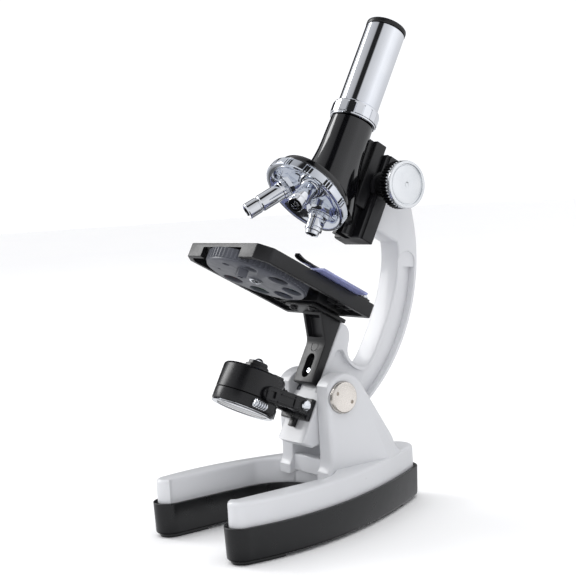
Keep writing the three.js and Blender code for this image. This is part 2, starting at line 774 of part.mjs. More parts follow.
function pinion() {
  const wheel = extruded(toothed(pinionRadius, pinionRadius - 0.9, pinionTeeth), -pinionHalf, pinionHalf)
    .rotate([0, 90, 0]).translate([0, focusY, focusHeight]);
  return cut(wheel, rod(shaftRadius + gap, -9, 9, coarse, [0, focusY, focusHeight], [1, 0, 0]));
}

function focusKnob(side) {
  const front = knobOuter - knobCapThickness - gap;
  const skirt = extruded(toothed(knobRadius, knobRadius - 0.6, knobFlutes), 0, front - knobInner);
  const placed = skirt.rotate([0, side * 90, 0]).translate([side * knobInner, focusY, focusHeight]);
  const at = [0, focusY, focusHeight];
  const hub = rod(hubRadius, guideHalf + 2 * gap, knobInner + 1, medium, at, [side, 0, 0]);
  const dish = rod(knobRadius - 2, front - 1.2, front + 1, fine, at, [side, 0, 0]);
  const bore = rod(shaftRadius + gap, 0, knobOuter + 1, coarse, at, [side, 0, 0]);
  return cut(join(placed, hub), dish, bore);
}

function knobCap(side) {
  const seat = knobOuter - knobCapThickness;
  const rim = knobRadius - 0.1;
  const spigot = knobRadius - 2 - gap;
  const profile = [[0, seat - 0.8], [spigot, seat - 0.8], [spigot, seat], [rim, seat], [rim, knobOuter - 0.5],
    [rim - 0.5, knobOuter], [rim - 1.5, knobOuter], [rim - 2.1, knobOuter - 0.6],
    [0, knobOuter - 0.5]];
  return turned(profile, fine, [0, focusY, focusHeight], [side, 0, 0]);
}

function knurledCollar() {
  const bottom = tubeTop + gap;
  const wheel = toothed(collarRadius, collarRadius - 0.5, collarTeeth);
  const nut = extruded(wheel, bottom + 0.8, collarTop - 1.6).translate(onAxis);
  const lips = join(rod(collarRadius - 0.5, bottom, bottom + 1, fine, onAxis),
    rod(collarRadius - 0.5, collarTop - 2, collarTop, fine, onAxis));
  return cut(join(nut, lips), rod(tubeBore - 0.1, bottom - 1, collarTop + 1, fine, onAxis));
}

function drawTube() {
  const bottom = collarTop + gap;
  const profile = [[stemRadius - drawWall, bottom - stemLength], [stemRadius, bottom - stemLength],
    [stemRadius, bottom], [drawRadius, bottom], [drawRadius, drawTop], [stemRadius - drawWall, drawTop]];
  return turned(profile, fine, onAxis);
}

function eyepieceRim() {
  const bottom = drawTop + gap;
  const top = bottom + rimHeight;
  const spigot = stemRadius - drawWall - gap;
  const profile = [[spigot - 1, bottom - 3], [spigot, bottom - 3], [spigot, bottom], [rimRadius, bottom],
    [rimRadius, top - 0.4], [rimRadius - 0.4, top], [eyeRadius + 0.9, top], [eyeRadius - 0.6, top - 1.6],
    [spigot - 1, top - 1.6]];
  return turned(profile, fine, onAxis);
}

function lens(radius, edge, crown, height, sides = medium) {
  const profile = [[0, height - edge / 2 - crown], [radius * 0.6, height - edge / 2 - crown * 0.6],
    [radius, height - edge / 2], [radius, height + edge / 2], [radius * 0.6, height + edge / 2 + crown * 0.6],
    [0, height + edge / 2 + crown]];
  return turned(profile, sides, onAxis);
}

// ---- Turret -------------------------------------------------------------------------------
// The turret group's +Z points up the turret's axis from the centre of its rim. The objectives
// meet at an apex on that axis, where it crosses the optical axis.
const apex = (opticalY - turretY) / Math.sin(rad(turretTilt));
const dishFloor = turretRim - 0.4;

function objectiveLine(turn) {
  const slope = rad(turretTilt);
  const around = rad(turn);
  const out = Math.sin(slope);
  return new THREE.Vector3(out * Math.sin(around), out * Math.cos(around), -Math.cos(slope));
}

const stations = [{ size: 'short', turn: 0 }, { size: 'medium', turn: 120 }, { size: 'long', turn: -120 }];

function alongObjective(profile, turn, sides) {
  return turned(profile, sides, [0, 0, apex], objectiveLine(turn).toArray());
}

// Distance from the apex to the face that an objective's shoulder screws up against.
function objectiveSeat() {
  const slope = rad(turretTilt);
  return (apex - dishFloor) / Math.cos(slope) + objectiveShoulder * Math.tan(slope) + gap;
}

function turretDisc() {
  const top = dishFloor + turretPlate;
  const bore = turretPin + gap;
  const profile = [[bore, dishFloor], [12, dishFloor], [turretRadius - 3.2, 0.9], [turretRadius - 2, 0],
    [turretRadius, 0.3], [turretRadius, turretRim], [turretRadius - 1.4, top], [bore, top]];
  const step = objectiveSeat() - gap;
  const narrow = threadRadius + gap;
  const wide = objectiveShoulder + gap;
  const thread = [[0, 10], [narrow, 10], [narrow, step], [wide, step], [wide, 60], [0, 60]];
  const holes = stations.map(({ turn }) => alongObjective(thread, turn, medium));
  return cut(turned(profile, fine + 8), ...holes);
}

function turretScrew() {
  const seat = dishFloor - gap;
  const end = dishFloor + turretPlate + gap + backingThickness - 0.5;
  return join(rod(3, seat - screwHeadHeight, seat, medium), rod(turretPin, seat - 0.5, end, coarse));
}

function objective({ size, turn }) {
  const reach = objectiveReach[size];
  const slope = rad(turretTilt);
  const seat = objectiveSeat();
  const start = (apex - dishFloor - turretPlate) / Math.cos(slope) + threadRadius * Math.tan(slope);
  const r = objectiveRadius;
  const nose = size === 'long' ? 6 : 2.5;
  const profile = [[objectiveBore, start], [threadRadius, start], [threadRadius, seat],
    [objectiveShoulder, seat], [objectiveShoulder, seat + 2], [r + 0.3, seat + 2.2],
    [r, seat + 3.4], [r, reach - nose],
    [r * 0.86, reach - nose + 0.6], [r * 0.86, reach - 0.4], [r * 0.74, reach], [objectiveBore, reach]];
  return alongObjective(profile, turn, medium);
}

function objectiveLens({ size, turn }) {
  const reach = objectiveReach[size];
  const radius = objectiveBore - gap;
  const profile = [[0, reach - 1.6], [radius, reach - 1.4], [radius, reach - 0.9], [0, reach - 0.6]];
  return alongObjective(profile, turn, coarse);
}

// The fixed backing behind the turret and the neck that joins it to the body tube.
function turretMount() {
  const bottom = dishFloor + turretPlate + gap;
  const backing = turned([[0, bottom], [backingRadius, bottom], [backingRadius, bottom + backingThickness],
    [0, bottom + backingThickness]], fine);
  const neckTop = tubeBottom - gap;
  const seated = (solid) => solid.translate([0, -turretY, -turretHeight]).rotate([turretTilt, 0, 0]);
  const neck = seated(rod(tubeFlare, neckTop - 16, neckTop, fine, onAxis)).intersect(
    box(-30, 30, -30, 30, bottom, bottom + 30));
  const room = seated(sliderRoom());
  const light = seated(rod(threadRadius + 1, 0, neckTop + 1, medium, onAxis));
  const bore = rod(turretPin + gap, bottom - 1, bottom + backingThickness, coarse);
  return cut(join(backing, neck), room, light, bore);
}

// ---- Lamp ---------------------------------------------------------------------------------
const lampTop = lampHeight + lampLength / 2;
const lampBottom = lampHeight - lampLength / 2;
const onLamp = [0, lampY, 0];
const yokeInner = lampRadius + 2 * gap;

function lampHousing() {
  const low = lampBottom + lampSplit + gap;
  const profile = [[socketRadius - 1.6, lampTop - lampWall], [lampRadius - lampWall, lampTop - lampWall],
    [lampRadius - lampWall, low], [lampRadius, low], [lampRadius, lampTop - 0.5], [lampRadius - 0.5, lampTop],
    [socketRadius - 1.6, lampTop]];
  const trunnions = [-1, 1].map((side) =>
    rod(yokeBar, lampRadius - lampWall + 0.3, yokeInner + yokeThickness - 1, medium, [0, lampY, lampHeight],
      [side, 0, 0]));
  return join(turned(profile, fine, onLamp), ...trunnions);
}

function lampLowerShell() {
  const top = lampBottom + lampSplit;
  const inner = lampRadius - lampWall;
  const profile = [[inner - 2, lampBottom + 2], [inner, lampBottom + 2], [inner, lampBottom + 0.6],
    [lampRadius, lampBottom + 0.6], [lampRadius, top], [inner, top], [inner - 2, top - 1]];
  return turned(profile, fine, onLamp);
}

function mirrorRing() {
  return ring(lampRadius - 2.6, lampRadius - 0.2, lampBottom - 0.3, lampBottom + 0.3, fine, onLamp);
}

function mirror() {
  return rod(lampRadius - lampWall - gap, lampBottom + 0.6, lampBottom + 1.7, fine, onLamp);
}

function bulbSocket() {
  const seat = lampTop + gap;
  const spigot = socketRadius - 1.6 - gap;
  const low = lampTop - 2.5;
  const profile = [[bulbRadius + gap, low], [spigot, low], [spigot, seat], [socketRadius, seat],
    [socketRadius, seat + 1.4], [socketRadius - 0.7, seat + socketHeight - 0.5],
    [socketRadius - 1.2, seat + socketHeight], [bulbRadius + gap, seat + socketHeight]];
  return turned(profile, medium, onLamp);
}

function bulb() {
  const top = lampTop + gap + socketHeight;
  const low = lampTop - 2;
  const profile = [[0, low], [bulbRadius, low], [bulbRadius, top], [bulbRadius * 0.8, top + 1],
    [0, top + 1.6]];
  return turned(profile, coarse, onLamp);
}

// The yoke: two side arms on one bar, with blind holes for the lamp's trunnions.
function lampYoke() {
  const trunnion = [0, lampY, lampHeight];
  const run = new THREE.Vector2(yokeY - lampY, yokeHeight - lampHeight);
  const angle = Math.atan2(run.y, run.x);
  const half = yokeWidth / 2;
  const outline = new THREE.Shape();
  outline.absarc(0, 0, half, Math.PI / 2, 1.5 * Math.PI, false);
  outline.absarc(run.length(), 0, half * 0.9, -Math.PI / 2, Math.PI / 2, false);
  const arms = [-1, 1].map((side) => {
    const outer = yokeInner + yokeThickness;
    const flat = extruded(outline, ...onSide(side, yokeInner, outer), 'yzx', 0, coarse);
    const square = box(...onSide(side, outer - 0.5, outer + padHeight), -padHalf, padHalf, -padHalf, padHalf);
    return join(flat, square).rotate([THREE.MathUtils.radToDeg(angle), 0, 0]).translate(trunnion);
  });
  const end = yokeInner + yokeThickness / 2;
  const bar = rod(yokeBar, -end, end, medium, [0, yokeY, yokeHeight], [1, 0, 0]);
  const depth = yokeInner + yokeThickness - 1 + gap;
  const holes = [-1, 1].map((side) =>
    rod(yokeBar + gap, yokeInner - 1, depth, medium, trunnion, [side, 0, 0]));
  return cut(join(...arms, bar), ...holes);
}

function yokeScrew(side) {
  const seat = yokeInner + yokeThickness + gap;
  const profile = [[0, seat], [screwHead + 0.3, seat], [screwHead, seat + 0.9], [0, seat + 1.2]];
  return turned(profile, medium, [0, yokeY, yokeHeight], [side, 0, 0]);
}

// The bracket that carries the yoke: a plate on the arm's foot, two lugs and a tab below.
function yokeBase() {
  const rear = armFront - gap;
  const plate = box(gap - footHalf, footHalf - gap, rear - yokePlate, rear, yokeHeight - 4.5, yokeHeight + 5);
  const lugs = [-1, 1].map((side) => {
    const [low, high] = onSide(side, lugInner, lugOuter);
    const eye = rod(lugRadius, low, high, medium, [0, yokeY, yokeHeight], [1, 0, 0]);
    return join(eye, box(low, high, yokeY, rear - 1, yokeHeight - lugRadius, yokeHeight + lugRadius));
  });
  const tab = box(-1.6, 1.6, rear - yokePlate - 0.2, rear - 0.4, yokeHeight - 8, yokeHeight - 4);
  const bore = rod(yokeBar + gap, -20, 20, medium, [0, yokeY, yokeHeight], [1, 0, 0]);
  const hole = rod(screwShank + gap, -30, 0, coarse, [0, 0, yokeScrewHeight()], [0, 1, 0]);
  return cut(join(plate, ...lugs, tab), bore, hole);
}

function yokeBaseScrew() {
  const seat = armFront - gap - yokePlate - gap;
  const at = [0, 0, yokeScrewHeight()];
  return join(rod(screwHead, seat - screwHeadHeight, seat, medium, at, [0, 1, 0]),
    rod(screwShank, seat - 0.5, armFront + screwDepth, coarse, at, [0, 1, 0]));
}

// ---- Assembly -----------------------------------------------------------------------------
const microscope = new THREE.Group();
const sides = [['right', 1], ['left', -1]];

place(microscope, 'base_casting', baseCasting(), 'white');
place(microscope, 'base_trim', baseTrim(), 'black');
sides.forEach(([name], i) => {
  place(microscope, `base_screw_${name}`, baseScrew(baseScrewPlaces()[i]), 'steel');
});
place(microscope, 'pivot_bolt', pivotBolt(), 'steel');
sides.forEach(([name, side]) => place(microscope, `pivot_cap_${name}`, pivotCap(side), 'nickel'));

const leaning = new THREE.Group();
leaning.position.z = pivotHeight;
leaning.rotation.x = -rad(lean);
microscope.add(leaning);

place(leaning, 'arm', arm(), 'white');
place(leaning, 'guide_block', guideBlock(), 'black');
place(leaning, 'guide_screw', guideScrew(), 'steel');
place(leaning, 'stage_bracket', stageBracket(), 'black');
place(leaning, 'bracket_screw', bracketScrew(), 'chrome');
place(leaning, 'stage_plate', stagePlate(), 'black');
place(leaning, 'filter_disc', filterDisc(), 'black');
place(leaning, 'filter_screw', filterScrew(), 'chrome');
openings.filter((opening) => opening.gel).forEach((opening) => {
  place(leaning, `filter_${opening.gel}`, gel(opening), opening.gel);
});
place(leaning, 'glass_slide', glassSlide(), 'glass');
sides.forEach(([name, side]) => {
  place(leaning, `stage_screw_${name}`, stageScrew(side), 'steel');
  place(leaning, `clip_${name}`, clip(side), 'gloss');
  place(leaning, `clip_pin_${name}`, clipPin(side), 'chrome');
});

place(leaning, 'body_tube', bodyTube(), 'gloss');
place(leaning, 'slider', slider(), 'black');
place(leaning, 'rack', rack(), 'brass');
place(leaning, 'collar', knurledCollar(), 'chrome');
place(leaning, 'pinion_shaft', pinionShaft(), 'steel');
place(leaning, 'pinion', pinion(), 'brass');
sides.forEach(([name, side]) => {
  place(leaning, `focus_knob_${name}`, focusKnob(side), 'black');
  place(leaning, `knob_cap_${name}`, knobCap(side), 'silver');
});
place(leaning, 'draw_tube', drawTube(), 'chrome');
place(leaning, 'eyepiece_rim', eyepieceRim(), 'gloss');
place(leaning, 'eye_lens', lens(eyeRadius - 0.3 - gap, 0.8, 0.5, drawTop - 1), 'glass');
const fieldHeight = collarTop - stemLength + 4;
place(leaning, 'field_lens', lens(stemRadius - drawWall - gap, 0.8, 0.6, fieldHeight), 'glass');

const turret = new THREE.Group();
turret.position.set(0, turretY, turretHeight);
turret.rotation.x = -rad(turretTilt);
leaning.add(turret);
place(turret, 'turret_mount', turretMount(), 'gloss');
place(turret, 'turret_disc', turretDisc(), 'chrome');
place(turret, 'turret_screw', turretScrew(), 'chrome');
stations.forEach((station) => {
  place(turret, `objective_${station.size}`, objective(station), 'chrome');
  place(turret, `objective_lens_${station.size}`, objectiveLens(station), 'glass');
});

place(leaning, 'yoke_base', yokeBase(), 'black');
place(leaning, 'yoke_base_screw', yokeBaseScrew(), 'steel');
place(leaning, 'lamp_yoke', lampYoke(), 'black');
sides.forEach(([name, side]) => place(leaning, `yoke_screw_${name}`, yokeScrew(side), 'chrome'));
place(leaning, 'lamp_housing', lampHousing(), 'black');
place(leaning, 'lamp_lower_shell', lampLowerShell(), 'black');
place(leaning, 'mirror_ring', mirrorRing(), 'chrome');
place(leaning, 'mirror', mirror(), 'mirror');
place(leaning, 'bulb_socket', bulbSocket(), 'black');
place(leaning, 'bulb', bulb(), 'glass');

// The object's origin is the middle of its bounding box at table height.
microscope.updateMatrixWorld(true);
const extent = new THREE.Box3().setFromObject(microscope, true);
const middle = extent.getCenter(new THREE.Vector3());
microscope.position.set(-middle.x, -middle.y, -extent.min.z);
microscope.updateMatrixWorld(true);

export default microscope;
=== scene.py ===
import json
import math

import bpy
import numpy as np
from mathutils import Matrix, Vector


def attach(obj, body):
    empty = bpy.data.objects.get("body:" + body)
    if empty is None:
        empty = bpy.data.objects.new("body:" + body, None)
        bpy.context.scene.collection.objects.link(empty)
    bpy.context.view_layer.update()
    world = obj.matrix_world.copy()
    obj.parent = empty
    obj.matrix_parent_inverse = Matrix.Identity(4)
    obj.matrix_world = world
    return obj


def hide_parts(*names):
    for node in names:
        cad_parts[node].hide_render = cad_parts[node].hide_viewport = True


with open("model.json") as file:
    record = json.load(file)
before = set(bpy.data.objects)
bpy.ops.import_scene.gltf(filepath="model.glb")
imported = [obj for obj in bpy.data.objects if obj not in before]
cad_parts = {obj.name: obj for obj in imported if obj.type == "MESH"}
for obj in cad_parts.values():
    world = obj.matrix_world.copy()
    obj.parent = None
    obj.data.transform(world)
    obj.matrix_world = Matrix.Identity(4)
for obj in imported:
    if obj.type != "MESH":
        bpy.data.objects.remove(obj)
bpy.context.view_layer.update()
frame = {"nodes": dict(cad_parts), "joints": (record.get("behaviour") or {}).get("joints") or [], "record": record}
record = frame["record"]
mm = 0.001

# Spaces: an origin in metres and three axes. Shapes are drawn in millimetres in one of them.
joints = {joint["name"]: joint for joint in frame["joints"]}
across = np.array([1.0, 0.0, 0.0])


def axesUp(up):
    up = np.array(up, float) / np.linalg.norm(up)
    second = np.cross(up, across)
    second /= np.linalg.norm(second)
    return np.array([np.cross(second, up), second, up])


def spaceAt(joint, up):
    return np.array(joints[joint]["pos_m"]), axesUp(up)


tubeUp = joints["focus_travel"]["axis"]
pivotPoint = np.array(joints["arm_tilt"]["pos_m"])
baseSpace = (np.array([0.0, pivotPoint[1], 0.0]), axesUp([0, 0, 1]))
armSpace = spaceAt("arm_tilt", tubeUp)
turretSpace = spaceAt("turret_spin", joints["turret_spin"]["axis"])
discSpace = spaceAt("filter_spin", tubeUp)
lampSpace = spaceAt("lamp_flip", tubeUp)
yokeSpace = spaceAt("yoke_tilt", tubeUp)
knobSpace = spaceAt("focus_knobs", tubeUp)


def inSpace(points, space):
    return space[0] + np.asarray(points) * mm @ space[1]


def span(node, space):
    corners = np.array([vertex.co for vertex in frame["nodes"][node].data.vertices])
    local = (corners - space[0]) @ space[1].T / mm
    return local.min(0), local.max(0)


print("spaces ready")


# Outlines.
def arc(centre, radius, start, end, count):
    angle = np.radians(np.linspace(start, end, count))
    return np.array(centre) + radius * np.stack([np.cos(angle), np.sin(angle)], 1)


# A curve through four control points: the usual cubic blend.
def curve(a, b, c, d, count):
    t = np.linspace(0, 1, count)[:, None]
    a, b, c, d = (np.array(point, float) for point in (a, b, c, d))
    return (1 - t) ** 3 * a + 3 * (1 - t) ** 2 * t * b + 3 * (1 - t) * t**2 * c + t**3 * d


# Corners replaced by short curves that start `radius` before each corner and end as far after it.
def softened(corners, radius, steps=5):
    corners = np.array([corner[:2] for corner in corners], float)
    radii = np.broadcast_to(np.array(radius, float), len(corners))
    t = np.linspace(0, 1, steps)[:, None]
    points = []
    for corner, before, after, reach in zip(corners, np.roll(corners, 1, 0), np.roll(corners, -1, 0),
                                            radii):
        back, ahead = before - corner, after - corner
        start = corner + back / np.linalg.norm(back) * min(reach, 0.49 * np.linalg.norm(back))
        end = corner + ahead / np.linalg.norm(ahead) * min(reach, 0.49 * np.linalg.norm(ahead))
        points.append((1 - t) ** 2 * start + 2 * t * (1 - t) * corner + t**2 * end)
    return np.concatenate(points)


def rectangle(x0, x1, y0, y1):
    return [(x0, y0), (x1, y0), (x1, y1), (x0, y1)]


def distinct(points, least=0.02):
    step = np.linalg.norm(points - np.roll(points, 1, 0), axis=1)
    return points[step > least]


# Moves each point of a closed outline inwards, along the mean of its two edge normals.
def drawnIn(points, amount):
    before = points - np.roll(points, 1, 0)
    after = np.roll(points, -1, 0) - points
    normals = [np.stack([-edge[:, 1], edge[:, 0]], 1) / np.linalg.norm(edge, axis=1, keepdims=True)
               for edge in (before, after)]
    closeness = np.maximum(1 + (normals[0] * normals[1]).sum(1, keepdims=True), 0.5)
    return points + (normals[0] + normals[1]) / closeness * np.reshape(amount, (-1, 1))


def anticlockwise(points):
    x, y = points[:, 0], points[:, 1]
    area = (x * np.roll(y, -1) - y * np.roll(x, -1)).sum()
    return points if area > 0 else points[::-1]


# Solids: points and faces.
def ringsToSolid(rings):
    rows, columns = rings.shape[:2]
    lower = np.arange(rows - 1)[:, None] * columns + np.arange(columns)
    ahead = np.arange(rows - 1)[:, None] * columns + (np.arange(columns) + 1) % columns
    walls = np.stack([lower, ahead, ahead + columns, lower + columns], -1).reshape(-1, 4).tolist()
    last = (rows - 1) * columns
    caps = [list(range(columns))[::-1], list(range(last, last + columns))]
    return rings.reshape(-1, 3), walls + caps


# An outline pushed along its own z, its ends rounded by quarter circles.
def slab(outline, low, high, soft=0.5, steps=3, softLow=None, extra=None):
    outline = anticlockwise(distinct(np.asarray(outline, float)))
    turn = np.linspace(0, math.pi / 2, steps + 1)
    bottom = soft if softLow is None else softLow
    insets = np.concatenate([bottom * (1 - np.sin(turn)), (soft * (1 - np.sin(turn)))[::-1]])
    heights = np.concatenate([low + bottom * (1 - np.cos(turn)),
                              (high - soft * (1 - np.cos(turn)))[::-1]])
    rings = []
    for inset, height in zip(insets, heights):
        more = 0 if extra is None else extra(outline, (height - low) / (high - low))
        ring = drawnIn(outline, inset + more)
        rings.append(np.column_stack([ring, np.full(len(ring), height)]))
    return ringsToSolid(np.array(rings))


def block(x0, x1, y0, y1, z0, z1, soft=0.5):
    return slab(softened(rectangle(x0, x1, y0, y1), soft * 1.4, 4), z0, z1, soft * 0.8)


# A profile of radius and height turned about z. `wave` changes each radius by height and angle.
def turned(profile, sides=96, wave=None):
    profile = np.array(profile, float)
    angle = np.arange(sides) * 2 * math.pi / sides
    radius = profile[:, :1] * np.ones(sides)
    if wave is not None:
        radius = wave(radius, profile[:, 1:2], angle[None, :])
    height = profile[:, 1:2] * np.ones(sides)
    rings = np.stack([radius * np.cos(angle), radius * np.sin(angle), height], -1)
    onAxis = profile[:, 0] < 1e-6
    if not (onAxis[0] or onAxis[-1]):
        points, faces = ringsToSolid(np.concatenate([rings, rings[:1]]))
        count = len(profile) * sides
        return points[:count], [[index % count for index in face] for face in faces[:-2]]
    kept = rings[~onAxis]
    points, faces = ringsToSolid(kept)
    faces = faces[:-2]
    points = list(points)
    count = len(kept) * sides
    for end, first in ((0, 0), (-1, count - sides)):
        tip = len(points)
        points.append([0, 0, profile[end, 1]])
        for i in range(sides):
            pair = [first + i, first + (i + 1) % sides]
            faces.append([*(pair[::-1] if end == 0 else pair), tip])
    return np.array(points), faces


def rod(radius, low, high, soft=0.15, sides=48):
    soft = min(soft, radius * 0.45, (high - low) * 0.45)
    return turned([[0, low], [radius - soft, low], [radius - soft * 0.3, low + soft * 0.3],
                   [radius, low + soft],
                   [radius, high - soft], [radius - soft * 0.3, high - soft * 0.3], [radius - soft, high],
                   [0, high]], sides)


def moved(solid, shift):
    return solid[0] + np.array(shift, float), solid[1]


def alongX(solid):
    return solid[0][:, [2, 0, 1]], solid[1]


def alongY(solid):
    return solid[0][:, [1, 2, 0]], solid[1]


def mirrored(solid):
    return solid[0] * [-1, 1, 1], [face[::-1] for face in solid[1]]


def spun(solid, degrees, axis="z"):
    c, s = math.cos(math.radians(degrees)), math.sin(math.radians(degrees))
    turn = {"x": [[1, 0, 0], [0, c, -s], [0, s, c]], "z": [[c, -s, 0], [s, c, 0], [0, 0, 1]]}[axis]
    return solid[0] @ np.array(turn).T, solid[1]


def stacked(*solids):
    points, faces, start = [], [], 0
    for solid in solids:
        points.append(solid[0])
        faces += [[index + start for index in face] for face in solid[1]]
        start += len(solid[0])
    return np.concatenate(points), faces


def meshOf(solid, name):
    mesh = bpy.data.meshes.new(name)
    mesh.from_pydata([tuple(point) for point in solid[0]], [], solid[1])
    mesh.update()
    return mesh


def volume(solid):
    total = 0.0
    for face in solid[1]:
        corners = solid[0][face]
        total += np.dot(corners[0], np.cross(corners[1:-1], corners[2:]).sum(0))
    return total


def outward(solid):
    return solid if volume(solid) > 0 else (solid[0], [face[::-1] for face in solid[1]])


def boolean(first, others, operation):
    scene = bpy.context.scene.collection
    target = bpy.data.objects.new("target", meshOf(outward(first), "target"))
    scene.objects.link(target)
    tools = []
    for other in others:
        tool = bpy.data.objects.new("tool", meshOf(outward(other), "tool"))
        scene.objects.link(tool)
        modifier = target.modifiers.new("cut", "BOOLEAN")
        modifier.object = tool
        modifier.operation = operation
        modifier.solver = "MANIFOLD"
        tools.append(tool)
    bpy.context.view_layer.update()
    mesh = bpy.data.meshes.new_from_object(target.evaluated_get(bpy.context.evaluated_depsgraph_get()))
    points = np.array([vertex.co for vertex in mesh.vertices])
    faces = [list(polygon.vertices) for polygon in mesh.polygons]
    for made in (target, *tools):
        old = made.data
        bpy.data.objects.remove(made)
        bpy.data.meshes.remove(old)
    bpy.data.meshes.remove(mesh)
    return points, faces


def joined(first, *others):
    return boolean(first, others, "UNION")


def without(first, *others):
    return boolean(first, others, "DIFFERENCE")


bodyOf = {node: body for body, nodes in record["behaviour"]["bodies"].items() for node in nodes}


# Adds a piece that stands for the named CAD nodes and rides on their body.
# `other` gives a second material to the faces whose centres pass a test in the piece's own space.
def show(name, solid, space, nodes, material, sharp=30, bevel=0.0, other=None, body=None):
    points, faces = outward(solid)
    mesh = meshOf((inSpace(points, space), faces), name)
    mesh.polygons.foreach_set("use_smooth", np.ones(len(mesh.polygons), bool))
    mesh.set_sharp_from_angle(angle=math.radians(sharp))
    mesh.materials.append(material)
    if other:
        mesh.materials.append(other[0])
        centres = np.array([points[face].mean(0) for face in faces])
        mesh.polygons.foreach_set("material_index", other[1](centres).astype(np.int32))
    piece = bpy.data.objects.new(name, mesh)
    bpy.context.scene.collection.objects.link(piece)
    if bevel:
        edge = piece.modifiers.new("edges", "BEVEL")
        edge.width = bevel * mm
        edge.segments = 2
        edge.limit_method = "ANGLE"
        edge.angle_limit = math.radians(sharp + 8)
        edge.harden_normals = True
    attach(piece, body or bodyOf[nodes[0]])
    if body is None:
        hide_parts(*nodes)
    return piece


print("helpers ready")


# Materials.
def linear(hexText):
    channels = [int(hexText[i:i + 2], 16) / 255 for i in (1, 3, 5)]
    return tuple(c / 12.92 if c <= 0.04045 else ((c + 0.055) / 1.055) ** 2.4 for c in channels) + (1.0,)


def add(tree, kind, sockets=None, **settings):
    made = tree.nodes.new(kind)
    for key, value in settings.items():
        setattr(made, key, value)
    for key, value in (sockets or {}).items():
        target = made.inputs[key]
        if isinstance(value, bpy.types.NodeSocket):
            tree.links.new(value, target)
        else:
            target.default_value = value
    return made


def noise(tree, vector, sizeMm, detail=2.0, roughness=0.5):
    return add(tree, "ShaderNodeTexNoise", {"Vector": vector, "Scale": 1 / (sizeMm * mm),
                                            "Detail": detail,
                                            "Roughness": roughness}).outputs["Fac"]


def ranged(tree, value, low, high, fromLow=0.3, fromHigh=0.7):
    return add(tree, "ShaderNodeMapRange", {"Value": value, "From Min": fromLow, "From Max": fromHigh,
                                            "To Min": low, "To Max": high}).outputs["Result"]


# Distance along an axis, or from it, as a coordinate for turning and spinning marks.
def markCoordinate(tree, place, space, radial):
    origin, axis = space[0], space[1][2]
    local = add(tree, "ShaderNodeVectorMath", {0: place, 1: tuple(origin)},
                operation="SUBTRACT").outputs[0]
    along = add(tree, "ShaderNodeVectorMath", {0: local, 1: tuple(axis)},
                operation="DOT_PRODUCT").outputs["Value"]
    if not radial:
        return along
    off = add(tree, "ShaderNodeVectorMath", {0: tuple(axis), "Scale": along},
              operation="SCALE").outputs[0]
    flat = add(tree, "ShaderNodeVectorMath", {0: local, 1: off}, operation="SUBTRACT").outputs[0]
    return add(tree, "ShaderNodeVectorMath", {0: flat}, operation="LENGTH").outputs["Value"]


# One finish: two close tones, roughness that wanders a little, a fine relief, and optional marks
# left by turning. Sizes are in millimetres.
def finish(name, tones, rough, spread=0.03, metallic=0.0, coat=0.0, tone=25.0, grain=0.6, relief=0.004,
           marks=None, see=0.0, ior=1.46):
    material = bpy.data.materials.new(name)
    material.use_nodes = True
    tree = material.node_tree
    tree.nodes.clear()
    place = add(tree, "ShaderNodeTexCoord").outputs["Object"]
    broad = noise(tree, place, tone, 3.0)
    fine = noise(tree, place, grain, 4.0)
    colour = add(tree, "ShaderNodeMix", {"Factor": ranged(tree, broad, 0.0, 1.0)}, data_type="RGBA")
    colour.inputs["A"].default_value = linear(tones[0])
    colour.inputs["B"].default_value = linear(tones[1])
    smudge = noise(tree, place, tone * 0.35, 2.0)
    level = add(tree, "ShaderNodeMath", {0: ranged(tree, smudge, rough - spread, rough + spread),
                                         1: ranged(tree, fine, -spread * 0.4, spread * 0.4)},
                                         operation="ADD")
    height, depth = fine, relief
    if marks:
        space, radial, pitch, depth = marks
        line = markCoordinate(tree, place, space, radial)
        height = add(tree, "ShaderNodeTexNoise", {"W": line, "Scale": 1 / (pitch * mm), "Detail": 3.0},
                     noise_dimensions="1D").outputs["Fac"]
        level = add(tree, "ShaderNodeMath", {0: level.outputs[0],
                                             1: ranged(tree, height, -spread, spread)},
                    operation="ADD")
    bump = add(tree, "ShaderNodeBump", {"Height": height, "Distance": depth * mm, "Strength": 1.0})
    shader = add(tree, "ShaderNodeBsdfPrincipled", {"Base Color": colour.outputs["Result"],
                                                    "Roughness": level.outputs[0],
                                                    "Normal": bump.outputs[0],
                                                    "Metallic": metallic, "Coat Weight": coat,
                                                    "Coat Roughness": 0.06, "Transmission Weight": see})
    if not metallic:
        shader.inputs["IOR"].default_value = ior
    output = add(tree, "ShaderNodeOutputMaterial", {"Surface": shader.outputs[0]})
    output.is_active_output = True
    return material


# Smooth white enamel on the casting and the arm, with a faint orange peel.
whiteEnamel = finish("white_enamel", ("#d6d7da", "#d1d2d5"), 0.3, 0.02, coat=0.25, tone=60, grain=2.5,
                     relief=0.0006)
# Glossy black moulding of the base skirt.
skirtBlack = finish("skirt_black", ("#090a0c", "#0d0e10"), 0.3, 0.03, tone=18, grain=0.5, relief=0.004)
# Satin black moulding with a fine spark-eroded grain: stage, brackets, guide, lamp.
satinBlack = finish("satin_black", ("#121213", "#17171a"), 0.36, 0.05, tone=14, grain=0.22, relief=0.012)
lampBlack = finish("lamp_black", ("#0c0c0e", "#111114"), 0.27, 0.05, tone=14, grain=0.3, relief=0.008)
# Satin black moulding of the filter disc, its base colour lifted to grey as painted sheen.
discSheenGrey = finish("disc_painted_sheen", ("#4a4c53", "#52545c"), 0.36, 0.04, tone=10, grain=0.25, relief=0.01)
# Deep gloss black of the body tube, the turret's backing and the eyepiece rim.
pianoBlack = finish("piano_black", ("#08080a", "#0c0c0f"), 0.1, 0.03, coat=0.6, tone=20, grain=0.8,
                    relief=0.002)
knobBlack = finish("knob_black", ("#0a0a0b", "#101011"), 0.32, 0.06, tone=6, grain=0.3, relief=0.01)
